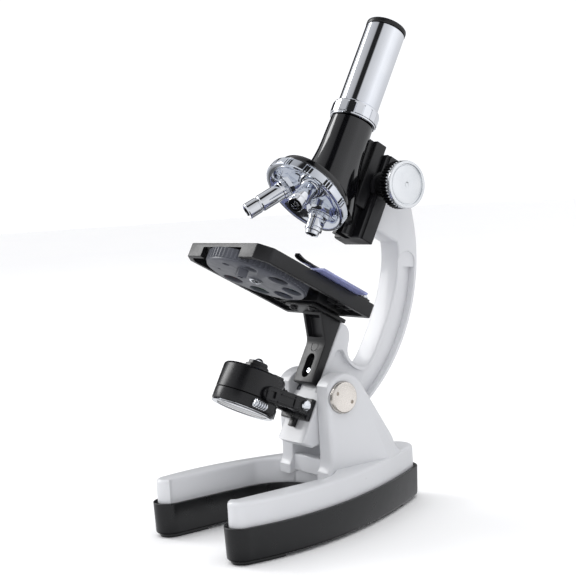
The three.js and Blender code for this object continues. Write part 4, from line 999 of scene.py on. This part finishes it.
def drawTubePieces():
    low, high = span("draw_tube", armSpace)
    shoulder = span("collar", armSpace)[1][2] + 0.3
    radius, inner, stem = 8.9, 6.6, 7.6
    profile = [[inner, low[2]], [stem, low[2]], [stem, shoulder], [radius - 0.2, shoulder],
               [radius, shoulder + 0.25],
               [radius, high[2] - 0.15], [radius - 0.15, high[2]], [inner, high[2]]]
    show("drawTube", moved(turned(profile, 160), onTube), armSpace, ["draw_tube"], tubeChrome, 30)
    low, high = span("eyepiece_rim", armSpace)
    bottom, top = high[2] - 2.4, high[2]
    radius = (high[0] - low[0]) / 2
    profile = [[5.3, low[2]], [6.3, low[2]], [6.3, bottom], [radius - 0.15, bottom],
               [radius, bottom + 0.2],
               [radius, top - 0.7], [radius - 0.12, top - 0.35], [radius - 0.4, top - 0.1],
               [radius - 0.8, top],
               [6.9, top], [6.4, top - 0.25], [5.2, top - 1.5], [5.0, top - 1.6]]
    show("eyepieceRim", moved(turned(profile, 160), onTube), armSpace, ["eyepiece_rim"], knobBlack, 40)
    for name, node in (("eyeLens", "eye_lens"), ("fieldLens", "field_lens")):
        low, high = span(node, armSpace)
        radius, middle, half = (high[0] - low[0]) / 2, (low[2] + high[2]) / 2, (high[2] - low[2]) / 2
        reach = np.linspace(0, 1, 9)
        # Each face is a parabola across the radius; the rim is a short cylinder.
        face = np.column_stack([radius * reach, half - (half - 0.4) * reach**2])
        profile = np.concatenate([face * [1, -1], face[::-1]])
        profile[:, 1] += middle
        show(name, moved(turned(profile, 64), onTube), armSpace, [node], clearGlass, 35)


def knobPieces():
    low, high = span("focus_knob_right", knobSpace)
    capLow, capHigh = span("knob_cap_right", knobSpace)
    radius, face = high[1], capHigh[0]
    inner, front = 18.4, high[0]
    ribs = 44

    # Flutes round the skirt: rounded ribs, from a flattened cosine.
    def flutes(radii, heights, angles):
        wave = np.clip(np.cos(angles * ribs) * 1.8, -1, 1) * 0.5 - 0.5
        return radii + np.where(radii > radius - 0.5, wave * 0.75, 0)

    profile = [[1.8, low[0]], [4.9, low[0]], [5.0, inner - 0.6], [5.6, inner], [radius - 1.0, inner],
               [radius - 0.4, inner + 0.1], [radius, inner + 0.6], [radius, front - 0.7],
               [radius, front - 0.2], [radius - 0.3, front],
               [8.2, front], [8.2, front - 1.2], [1.8, front - 1.2]]
    skirt = alongX(turned(profile, 440, flutes))
    seat = capLow[0] + 0.8
    rim = (capHigh[1] - capLow[1]) / 2
    profile = [[0, capLow[0]], [7.9, capLow[0]], [7.9, seat], [rim - 0.1, seat], [rim, seat + 0.15],
               [rim, face - 0.5], [rim - 0.15, face - 0.15], [rim - 0.5, face], [rim - 1.25, face],
               [rim - 1.4, face - 0.12], [rim - 1.5, face - 0.75], [rim - 1.85, face - 0.8],
               [rim - 2.0, face - 0.5], [rim - 2.4, face - 0.36], [3.0, face - 0.36], [1.2, face - 0.38],
               [0.85, face - 0.6], [0.4, face - 0.78], [0, face - 0.8]]
    cap = alongX(turned(profile, 160))
    ridges = (spunSilver, lambda centres: np.abs(centres[:, 0]) > front - 0.75)
    for side, flip in (("right", lambda solid: solid), ("left", mirrored)):
        name = side.capitalize()
        show("focusKnob" + name, flip(skirt), knobSpace, ["focus_knob_" + side], knobBlack, 40,
             other=ridges)
        show("knobCap" + name, flip(cap), knobSpace, ["knob_cap_" + side], spunSilver, 25)


sliderFace = span("slider", armSpace)[1][1] - 2.3 - 2.3 - 1.4
tubePieces()
collarPiece()
drawTubePieces()
knobPieces()
print("tube done")

# Turret.
turretHigh = span("turret_disc", turretSpace)[1]
turret = {"rim": 4.0, "floor": 3.6, "plate": 1.6, "pin": 2.0, "slope": 21.2, "groups": 12}
tubeAxisPoint = (np.array(onTube) @ armSpace[1]) * mm + armSpace[0]
rearOffset = (tubeAxisPoint - turretSpace[0]) / mm @ armSpace[1][1]
# The turret's axis meets the tube's axis at this height, and every objective points there.
apexHeight = rearOffset / math.sin(math.radians(turret["slope"]))
stations = [("short", 0), ("medium", 120), ("long", -120)]
objectiveDims = {"shoulder": 4.6, "radius": 3.7, "bore": 1.8, "thread": 2.9}


def objectiveSpace(turn):
    slope, around = math.radians(turret["slope"]), math.radians(turn)
    out = math.sin(slope)
    line = np.array([out * math.sin(around), out * math.cos(around), -math.cos(slope)])
    return inSpace([0, 0, apexHeight], turretSpace), axesUp(line @ turretSpace[1])


def toTurret(solid, space):
    world = inSpace(solid[0], space)
    return (world - turretSpace[0]) @ turretSpace[1].T / mm, solid[1]


def seatDistance():
    slope = math.radians(turret["slope"])
    return (apexHeight - turret["floor"]) / math.cos(slope) + objectiveDims["shoulder"] * math.tan(slope) + 0.3


def turretPieces():
    radius = turretHigh[0]
    floor, top = turret["floor"], turret["floor"] + turret["plate"]

    # Groups of three narrow grooves across the rim, as steps in the angle.
    def grooves(radii, heights, angles):
        share = np.mod(angles * turret["groups"] / (2 * math.pi), 1) - 0.5
        depth = 0
        for centre in (-0.13, 0, 0.13):
            depth = depth + np.clip((0.042 - np.abs(share - centre)) / 0.014, 0, 1)
        rim = (radii > radius - 0.25) & (heights < turret["rim"])
        return radii - np.where(rim, depth * 0.7, 0)

    dish = curve((11.6, floor), (14.0, floor - 0.1), (15.6, floor - 1.6), (16.8, 0.75), 14)
    lip = curve((16.8, 0.75), (17.2, 0.3), (17.6, 0.02), (18.2, 0.0), 6)[1:]
    profile = np.concatenate([[(turret["pin"], floor), (6.0, floor)], dish, lip,
                              [(radius - 0.5, 0.05), (radius - 0.1, 0.3), (radius, 0.55),
                               (radius, turret["rim"] - 0.5),
                               (radius - 0.15, turret["rim"] - 0.2), (radius - 0.5, turret["rim"]),
                               (radius - 1.6, top), (turret["pin"], top)]])
    wheel = turned(profile, 720, grooves)
    seat = seatDistance()
    bosses, cuts = [], []
    for _, turn in stations:
        space = objectiveSpace(turn)
        start = seat - 6
        wide = objectiveDims["shoulder"] + 0.3
        boss = turned([[0, start], [6.6, start], [6.6, seat - 1.2], [6.1, seat - 0.4], [5.7, seat + 0.15],
                       [5.5, seat + 0.3],
                       [0, seat + 0.3]], 96)
        boss = boolean(toTurret(boss, space), [turned([[0, -3], [radius - 2, -3], [radius - 2, top],
                                                       [0, top]], 96)],
                       "INTERSECT")
        bosses.append(boss)
        narrow = objectiveDims["thread"] + 0.3
        cuts.append(toTurret(turned([[0, 10], [narrow, 10], [narrow, seat - 0.3], [wide, seat - 0.3],
                                     [wide, 60],
                                     [0, 60]], 64), space))
    solid = without(joined(wheel, *bosses), *cuts)
    # The floors of the rim's grooves get black: painted shade in the grooves.
    groovePaintedShade = (knobBlack, lambda centres: (np.hypot(centres[:, 0], centres[:, 1]) < radius - 0.35)
              & (np.hypot(centres[:, 0], centres[:, 1]) > radius - 0.75) & (centres[:, 2] > 0.5)
              & (centres[:, 2] < turret["rim"] - 0.4))
    show("turretDisc", solid, turretSpace, ["turret_disc"], turretChrome, 26, other=groovePaintedShade)

    low, high = span("turret_screw", turretSpace)
    seatZ = low[2] + 1.2
    head = crossScrew(3.0, seatZ, 1.2, 1.7, high[2] - seatZ)
    show("turretScrew", spun(head, 30), turretSpace, ["turret_screw"], brightChrome, 30, 0.04)

    bottom = top + 0.3
    backing = turned([[2.0, bottom], [17.0, bottom], [17.35, bottom + 0.25], [17.5, bottom + 0.6],
                      [17.5, bottom + 1.9],
                      [17.3, bottom + 2.3], [16.8, bottom + 2.6], [2.0, bottom + 2.6]], 160)
    foot = tubeLow[2] - 0.02
    neckProfile = np.concatenate([[(0, foot - 17), (14.6, foot - 17)],
                                  curve((14.6, foot - 16.5), (13.6, foot - 9),
                                        (tube["flare"] + 0.9, foot - 4.5), (tube["flare"], foot), 18),
                                  [(0, foot)]])
    neck = moved(turned(neckProfile, 128), onTube)
    neckPoints = (inSpace(neck[0], armSpace) - turretSpace[0]) @ turretSpace[1].T / mm
    neck = boolean((neckPoints, neck[1]), [block(-30, 30, -30, 30, bottom + 0.2, bottom + 30, 0.1)],
                   "INTERSECT")
    sliderLow, sliderHigh = span("slider", armSpace)
    room = block(sliderLow[0] - 0.3, sliderHigh[0] + 0.3, sliderFace - 0.3, 5, sliderLow[2] - 0.3, 120,
                 0.3)
    light = moved(rod(objectiveDims["thread"] + 1, 60, foot + 2, 0.05, 48), onTube)
    cuts = [((inSpace(tool[0], armSpace) - turretSpace[0]) @ turretSpace[1].T / mm,
             tool[1]) for tool in (room, light)]
    solid = without(joined(backing, neck), *cuts)
    show("turretMount", solid, turretSpace, ["turret_mount"], pianoBlack, 30)


def objectivePieces():
    seat = seatDistance()
    wide, radius, bore = objectiveDims["shoulder"], objectiveDims["radius"], objectiveDims["bore"]

    # Fine straight knurl on the shoulder: a cosine round the angle.
    def knurl(radii, heights, angles):
        return radii + np.where(radii > wide - 0.12, (np.cos(angles * 36) - 1) * 0.24, 0)

    for size, turn in stations:
        space = objectiveSpace(turn)
        low, high = span("objective_" + size, space)
        tip, start = high[2], low[2]
        shoulder = [[bore, start], [objectiveDims["thread"], start], [objectiveDims["thread"], seat],
                    [wide - 0.15, seat],
                    [wide, seat + 0.15], [wide, seat + 1.85], [wide - 0.15, seat + 2.0],
                    [radius + 0.35, seat + 2.05],
                    [radius + 0.3, seat + 3.0], [radius + 0.05, seat + 3.3]]
        if size == "long":
            barrel = [[radius, tip - 7.2], [radius - 0.05, tip - 7.0], [radius - 0.45, tip - 6.6],
                      [radius - 0.45, tip - 5.9],
                      [radius - 0.15, tip - 5.6], [radius - 0.1, tip - 0.5], [radius - 0.35, tip - 0.15]]
        elif size == "medium":
            barrel = [[radius, tip - 3.4], [radius - 0.4, tip - 3.1], [radius - 0.4, tip - 0.5],
                      [radius - 0.6, tip - 0.2]]
        else:
            barrel = [[radius, tip - 3.4], [radius - 0.35, tip - 3.2], [radius - 0.35, tip - 2.9],
                      [radius, tip - 2.7], [radius, tip - 1.7], [radius - 0.8, tip - 1.5],
                      [radius - 0.8, tip - 0.3],
                      [radius - 1.0, tip - 0.1]]
        nose = [[radius * 0.8, tip], [bore + 0.95, tip], [bore + 0.75, tip - 0.5],
                [bore + 0.35, tip - 0.5],
                [bore + 0.2, tip - 0.1], [bore, tip - 0.25]]
        solid = turned(shoulder + barrel + nose, 240, knurl)
        dark = (knobBlack, lambda centres, tip=tip: (np.hypot(centres[:, 0],
                                                              centres[:, 1]) < radius * 0.86)
                & (centres[:, 2] > tip - 3))
        show("objective" + size.capitalize(), solid, space, ["objective_" + size], brightChrome, 28,
             other=dark if size == "medium" else (knobBlack, lambda centres: np.hypot(
                 centres[:, 0], centres[:, 1]) < bore + 0.5))
        low, high = span("objective_lens_" + size, space)
        lensRadius = (high[0] - low[0]) / 2
        reach = np.linspace(0, 1, 7)
        front = np.column_stack([lensRadius * reach, high[2] - 0.35 * reach**2])
        back = np.column_stack([lensRadius * reach, low[2] + 0.2 * reach**2])
        show("lens" + size.capitalize(), turned(np.concatenate([back, front[::-1]]), 48), space,
             ["objective_lens_" + size], clearGlass, 35)


turretPieces()
objectivePieces()
print("turret done")

# Lamp.
lampLow, lampHigh = span("lamp_housing", lampSpace)
shellLow, shellHigh = span("lamp_lower_shell", lampSpace)
lamp = {"radius": 13.3, "wall": 1.5, "socket": 5.3, "bar": 1.5, "yokeInner": 13.9, "yokeThick": 2.4}


def lampPieces():
    radius, wall = lamp["radius"], lamp["wall"]
    low, top = lampLow[2], lampHigh[2]
    inner = lamp["socket"] - 1.6
    profile = [[inner, top - wall], [radius - wall, top - wall], [radius - wall, low],
               [radius - 0.12, low],
               [radius, low + 0.12], [radius, top - 1.3], [radius - 0.25, top - 0.75],
               [radius - 0.75, top - 0.25],
               [radius - 1.4, top], [inner, top]]
    shell = turned(profile, 160)
    trunnions = [alongX(rod(lamp["bar"], radius - wall + 0.3, lamp["yokeInner"] + lamp["yokeThick"] - 1,
                            0.1, 40))]
    trunnions.append(mirrored(trunnions[0]))
    terminal = [(3.5, top - 3), (14.6, top - 3), (14.6, low + 1.2), (15.4, low + 1.2), (15.4, top - 4.6),
                (11.5, top - 0.3), (8.0, top + 0.7), (5.2, top + 0.7)]
    extras = [
        # A low boss to one side of the socket, and a sloped terminal block behind it.
        moved(rod(2.2, top - 1, top + 0.8, 0.25, 40), (-6.5, -6.6, 0)),
        alongX(slab(softened(terminal, 0.5), -5.6, 5.6, 0.5)),
        block(5.8, 9.4, 3.2, 8.2, top - 1, top + 0.7, 0.3),
    ]
    solid = joined(shell, *trunnions, *extras)
    seat = turned([[0, top - 3], [inner, top - 3], [inner, top + 2], [0, top + 2]], 96)
    cap = turned([[0, top], [lamp["socket"] + 0.5, top], [lamp["socket"] + 0.5, top + 6], [0, top + 6]],
                 96)
    solid = without(solid, seat, cap)
    show("lampHousing", solid, lampSpace, ["lamp_housing"], lampBlack, 30, 0.12)

    low, top = shellLow[2], shellHigh[2]
    rim = radius - wall
    profile = [[rim - 2, low + 1.4], [rim, low + 1.4], [rim, low], [radius - 0.5, low],
               [radius - 0.12, low + 0.2],
               [radius, low + 0.6], [radius, top - 0.12], [radius - 0.12, top], [rim, top],
               [rim - 2, top - 1]]
    shell = turned(profile, 160)
    clasp = block(radius - 1.0, radius + 1.3, 0.6, 5.2, low + 0.4, top - 0.5, 0.3)
    tab = block(-3, 3, radius - 1, radius + 1.6, low + 0.6, top - 0.6, 0.3)
    show("lampLowerShell", joined(shell, clasp, tab), lampSpace, ["lamp_lower_shell"], lampBlack, 30,
         0.12)
    # A plated coil spring on the clasp: rings of wire round an axis along y.
    # It hangs low enough to pass over the yoke's arm when the lamp is turned over.
    wire = arc((1.48, 0), 0.34, 0, 360, 13)[:-1]
    coils = [moved(alongY(turned(wire, 40)), (radius + 1.6, y, low + 2.25)) for y in (-5.2, -4.0, -2.8,
        -1.6, -0.4)]
    pin = moved(alongY(rod(1.0, -6.0, 0.6, 0.2, 24)), (radius + 1.6, 0, low + 2.25))
    show("claspSpring", stacked(*(outward(part) for part in (*coils, pin))), lampSpace,
         ["yoke_screw_right"],
         brightChrome, 35, body="lamp")

    low, high = span("mirror_ring", lampSpace)
    outer = high[0]
    section = arc((outer - 1.2, (low[2] + high[2]) / 2), 1, 0, 360, 17)[:-1]
    section = (section - [outer - 1.2, (low[2] + high[2]) / 2]) * [1.2, (high[2] - low[2]) / 2] + [
        outer - 1.2, (low[2] + high[2]) / 2]
    show("mirrorRing", turned(section, 160), lampSpace, ["mirror_ring"], brightChrome, 40)
    low, high = span("mirror", lampSpace)
    show("mirror", rod((high[0] - low[0]) / 2, low[2], high[2], 0.15, 128), lampSpace, ["mirror"],
         silvered, 30)

    low, high = span("bulb_socket", lampSpace)
    size, seatZ, topZ = (high[0] - low[0]) / 2, high[2] - 3.6, high[2]
    corners = arc((0, 0), size * 1.02, 22.5, 382.5, 9)[:-1]
    collar = slab(softened(corners, 0.8), seatZ, seatZ + 2.0, 0.35)
    crown = slab(softened(corners * 0.82, 0.6), seatZ + 1.6, topZ, 0.45)
    spigot = rod(size - 1.9, low[2], seatZ + 0.5, 0.1)
    hole = turned([[0, low[2] - 1], [2.2, low[2] - 1], [2.2, topZ + 1], [0, topZ + 1]], 48)
    show("bulbSocket", without(joined(collar, crown, spigot), hole), lampSpace, ["bulb_socket"],
         lampBlack, 30, 0.12)
    low, high = span("bulb", lampSpace)
    size = (high[0] - low[0]) / 2
    dome = np.column_stack([size * np.cos(np.linspace(0, math.pi / 2, 10)),
                            high[2] - 1.6 + 1.6 * np.sin(np.linspace(0, math.pi / 2, 10))])
    dome[-1, 0] = 0
    profile = np.concatenate([[(0, low[2]), (size, low[2])], dome])
    show("bulb", turned(profile, 64), lampSpace, ["bulb"], clearGlass, 40)


def yokePieces():
    pivotAt = (yokeSpace[0] - lampSpace[0]) @ lampSpace[1].T / mm
    run = math.hypot(pivotAt[1], pivotAt[2])
    angle = math.degrees(math.atan2(pivotAt[2], pivotAt[1]))
    inner, outer = lamp["yokeInner"], lamp["yokeInner"] + lamp["yokeThick"]
    outline = np.concatenate([arc((0, 0), 3.2, 90, 270, 24), arc((run, 0), 2.9, -90, 90, 24)])
    arm = slab(outline, inner, outer - 0.4, 0.3)
    raised = slab(np.concatenate([arc((0.2, 0), 2.4, 90, 270, 20),
                                  arc((run - 0.4, 0), 2.1, -90, 90, 20)]), outer - 1,
                  outer, 0.35)
    ridge = slab(softened(rectangle(4.6, run - 3.4, 0.9, 1.6), 0.2), outer - 0.5, outer + 0.4, 0.15)
    pad = without(block(-2.5, 2.5, -2.5, 2.5, outer - 0.5, outer + 0.9, 0.25),
                  block(-1.4, 1.4, -1.4, 1.4, outer - 0.1, outer + 2, 0.1))
    lower = slab(softened(rectangle(3.6, run - 2.0, -2.4, -1.7), 0.2), outer - 0.5, outer + 0.3, 0.15)
    stop = block(run - 6.0, run - 4.0, -2.6, 2.2, outer - 0.5, outer + 0.6, 0.2)
    side = alongX(joined(arm, raised, ridge, pad, lower, stop))
    side = spun(side, angle, "x")
    bar = moved(alongX(rod(lamp["bar"], -outer + 1.2, outer - 1.2, 0.1, 40)), pivotAt)
    hole = alongX(rod(lamp["bar"] + 0.3, inner - 1, outer - 0.7, 0.05, 40))
    solid = without(joined(side, mirrored(side), bar), hole, mirrored(hole))
    show("lampYoke", solid, lampSpace, ["lamp_yoke"], lampBlack, 30, 0.12)
    for name, node, flip in (("yokeScrewRight", "yoke_screw_right", 1),
                             ("yokeScrewLeft", "yoke_screw_left", -1)):
        low, high = span(node, yokeSpace)
        near, far = (low[0], high[0]) if flip > 0 else (-high[0], -low[0])
        head = turned([[0, near], [2.15, near], [2.2, near + 0.25], [1.9, near + 0.75], [1.2, far - 0.1],
                       [0, far]], 48)
        head = without(head, block(-2.6, 2.6, -0.28, 0.28, near + 0.65, far + 2, 0.05))
        head = alongX(spun(head, 35))
        show(name, head if flip > 0 else mirrored(head), yokeSpace, [node], brightChrome, 30, 0.04)

    low, high = span("yoke_base", yokeSpace)
    plate = block(low[0], high[0], high[1] - 2.4, high[1], -4.5, 5.0, 0.5)
    parts = []
    for side in (1, -1):
        eye = alongX(rod(2.5, 5.6, 8.7, 0.3, 48))
        web = block(5.6, 8.7, -0.2, high[1] - 1, -2.5, 2.5, 0.4)
        parts += [(eye if side > 0 else mirrored(eye)), (web if side > 0 else mirrored(web))]
    parts.append(block(-1.6, 1.6, high[1] - 2.6, high[1] - 0.4, low[2], -4, 0.35))
    parts.append(block(-5, 5, high[1] - 4.2, high[1] - 1, 1.4, 4.4, 0.4))
    bore = alongX(rod(lamp["bar"] + 0.3, -30, 30, 0.05, 40))
    hole = alongY(rod(2.3, -30, high[1] - 2.4, 0.05, 40))
    show("yokeBase", without(joined(plate, *parts), bore, hole), yokeSpace, ["yoke_base"], lampBlack, 30,
         0.12)


lampPieces()
yokePieces()
print("lamp done")

# Floor, light and camera.
scene = bpy.context.scene
floorMesh = bpy.data.meshes.new("floor")
reach = 6.0
floorMesh.from_pydata([(-reach, -reach, 0), (reach, -reach, 0), (reach, reach, 0), (-reach, reach, 0)],
                      [],
                      [(0, 1, 2, 3)])
floor = bpy.data.objects.new("floor", floorMesh)
scene.collection.objects.link(floor)
floorMesh.materials.append(finish("pale_floor", ("#fdfdfd", "#fcfcfd"), 0.6, 0.02, tone=300, grain=4,
                                  relief=0.01))
floor.visible_glossy = False


# A soft box of light, aimed at the middle of the object.
def softbox(name, place, size, watts, mirroredInChrome):
    data = bpy.data.lights.new(name, "AREA")
    data.shape = "RECTANGLE"
    data.size, data.size_y = size
    data.energy = watts
    made = bpy.data.objects.new(name, data)
    made.location = place
    made.rotation_mode = "QUATERNION"
    made.rotation_quaternion = (Vector(middle) - Vector(place)).to_track_quat("-Z", "Y")
    made.visible_glossy = mirroredInChrome
    scene.collection.objects.link(made)


middle = (0.0, 0.0, 0.1)
softbox("keyLight", (-1.2, -0.6, 0.8), (0.6, 0.9), 9.0, True)
softbox("fillLight", (1.0, -0.85, 0.5), (0.6, 0.9), 3.0, False)

# A broad, soft overhead light that falls evenly on the whole floor.
overhead = bpy.data.lights.new("overhead", "SUN")
overhead.energy = 1.95
overhead.angle = math.radians(100)
overheadLight = bpy.data.objects.new("overhead", overhead)
overheadLight.visible_glossy = False
scene.collection.objects.link(overheadLight)


# Brightness of the room in reflections, by the angle round the tube's axis in degrees: a white
# wall on each side, a black flag near the front and another behind.
roomWalls = [(-180, 0.03), (-173, 0.04), (-167, 0.75), (-141, 0.7), (-109, 0.55), (-90, 0.45),
             (-84, 0.02),
             (-60, 0.02), (-54, 0.65), (-35, 0.72), (-12, 0.85), (12, 1.1), (39, 1.0), (71, 0.8),
             (110, 0.7), (140, 0.6), (148, 0.03), (180, 0.03)]
# Strengths of the rest: the glow of the floor side, its darkest part straight down, what falls on
# matt surfaces, and the backdrop itself.
roomLevels = {"floorGlow": 0.85, "straightDown": 0.15, "matt": 0.5, "backdrop": 1.12}


def room():
    world = bpy.data.worlds.new("room")
    scene.world = world
    world.use_nodes = True
    tree = world.node_tree
    tree.nodes.clear()
    direction = add(tree, "ShaderNodeTexCoord").outputs["Generated"]
    parts = [add(tree, "ShaderNodeVectorMath", {0: direction, 1: tuple(axis)},
                 operation="DOT_PRODUCT").outputs["Value"]
             for axis in armSpace[1]]
    angle = add(tree, "ShaderNodeMath", {0: parts[1], 1: parts[0]}, operation="ARCTAN2").outputs[0]
    share = add(tree, "ShaderNodeMapRange", {"Value": angle, "From Min": -math.pi,
                                             "From Max": math.pi}).outputs["Result"]
    walls = add(tree, "ShaderNodeValToRGB", {"Fac": share})
    stops = walls.color_ramp.elements
    for turn, level in roomWalls[1:-1]:
        stops.new((turn + 180) / 360).color = (level, level, level, 1)
    stops[0].color = (roomWalls[0][1],) * 3 + (1,)
    stops[len(stops) - 1].color = (roomWalls[-1][1],) * 3 + (1,)
    # Below the level of the object the room is evenly bright, and straight down it is dark.
    upper = add(tree, "ShaderNodeMapRange", {"Value": parts[2], "From Min": -0.1,
                                             "From Max": 0.1}).outputs["Result"]
    mixed = add(tree, "ShaderNodeMix", {"Factor": upper, "A": roomLevels["floorGlow"],
                                        "B": walls.outputs["Color"]}).outputs["Result"]
    up = add(tree, "ShaderNodeSeparateXYZ", {0: direction}).outputs["Z"]
    level = add(tree, "ShaderNodeMapRange", {"Value": up, "From Min": -0.62, "From Max": -0.5,
                                             "To Min": roomLevels["straightDown"],
                                             "To Max": 1.0}).outputs["Result"]
    seen = add(tree, "ShaderNodeMath", {0: mixed, 1: level}, operation="MULTIPLY").outputs[0]
    rays = add(tree, "ShaderNodeLightPath")
    strength = add(tree, "ShaderNodeMix", {"Factor": rays.outputs["Is Glossy Ray"],
                                           "A": roomLevels["matt"], "B": seen})
    shown = add(tree, "ShaderNodeMix", {"Factor": rays.outputs["Is Camera Ray"],
                                        "A": strength.outputs["Result"],
                                        "B": roomLevels["backdrop"]})
    paint = add(tree, "ShaderNodeBackground", {"Color": linear("#fbfcff"),
                                               "Strength": shown.outputs["Result"]})
    add(tree, "ShaderNodeOutputWorld", {"Surface": paint.outputs[0]}).is_active_output = True


room()
scene.view_settings.view_transform = "Standard"

view = {
    "place": (393.0, -299.81, 139.33),
    "forward": (-0.8, 0.5947, -0.0798),
    "up": (-0.0312, 0.0917, 0.9953),
    "lens": 73.4,
}
camera = bpy.data.objects.new("camera", bpy.data.cameras.new("camera"))
scene.collection.objects.link(camera)
camera.data.lens = view["lens"]
camera.data.sensor_width = 36.0
camera.data.clip_start, camera.data.clip_end = 0.02, 30.0
back = -Vector(view["forward"]).normalized()
right = Vector(view["up"]).cross(back).normalized()
lift = back.cross(right)
turn = Matrix((right, lift, back)).transposed()
camera.matrix_world = Matrix.Translation(Vector(view["place"]) * mm) @ turn.to_4x4()
scene.camera = camera
print("stage set")
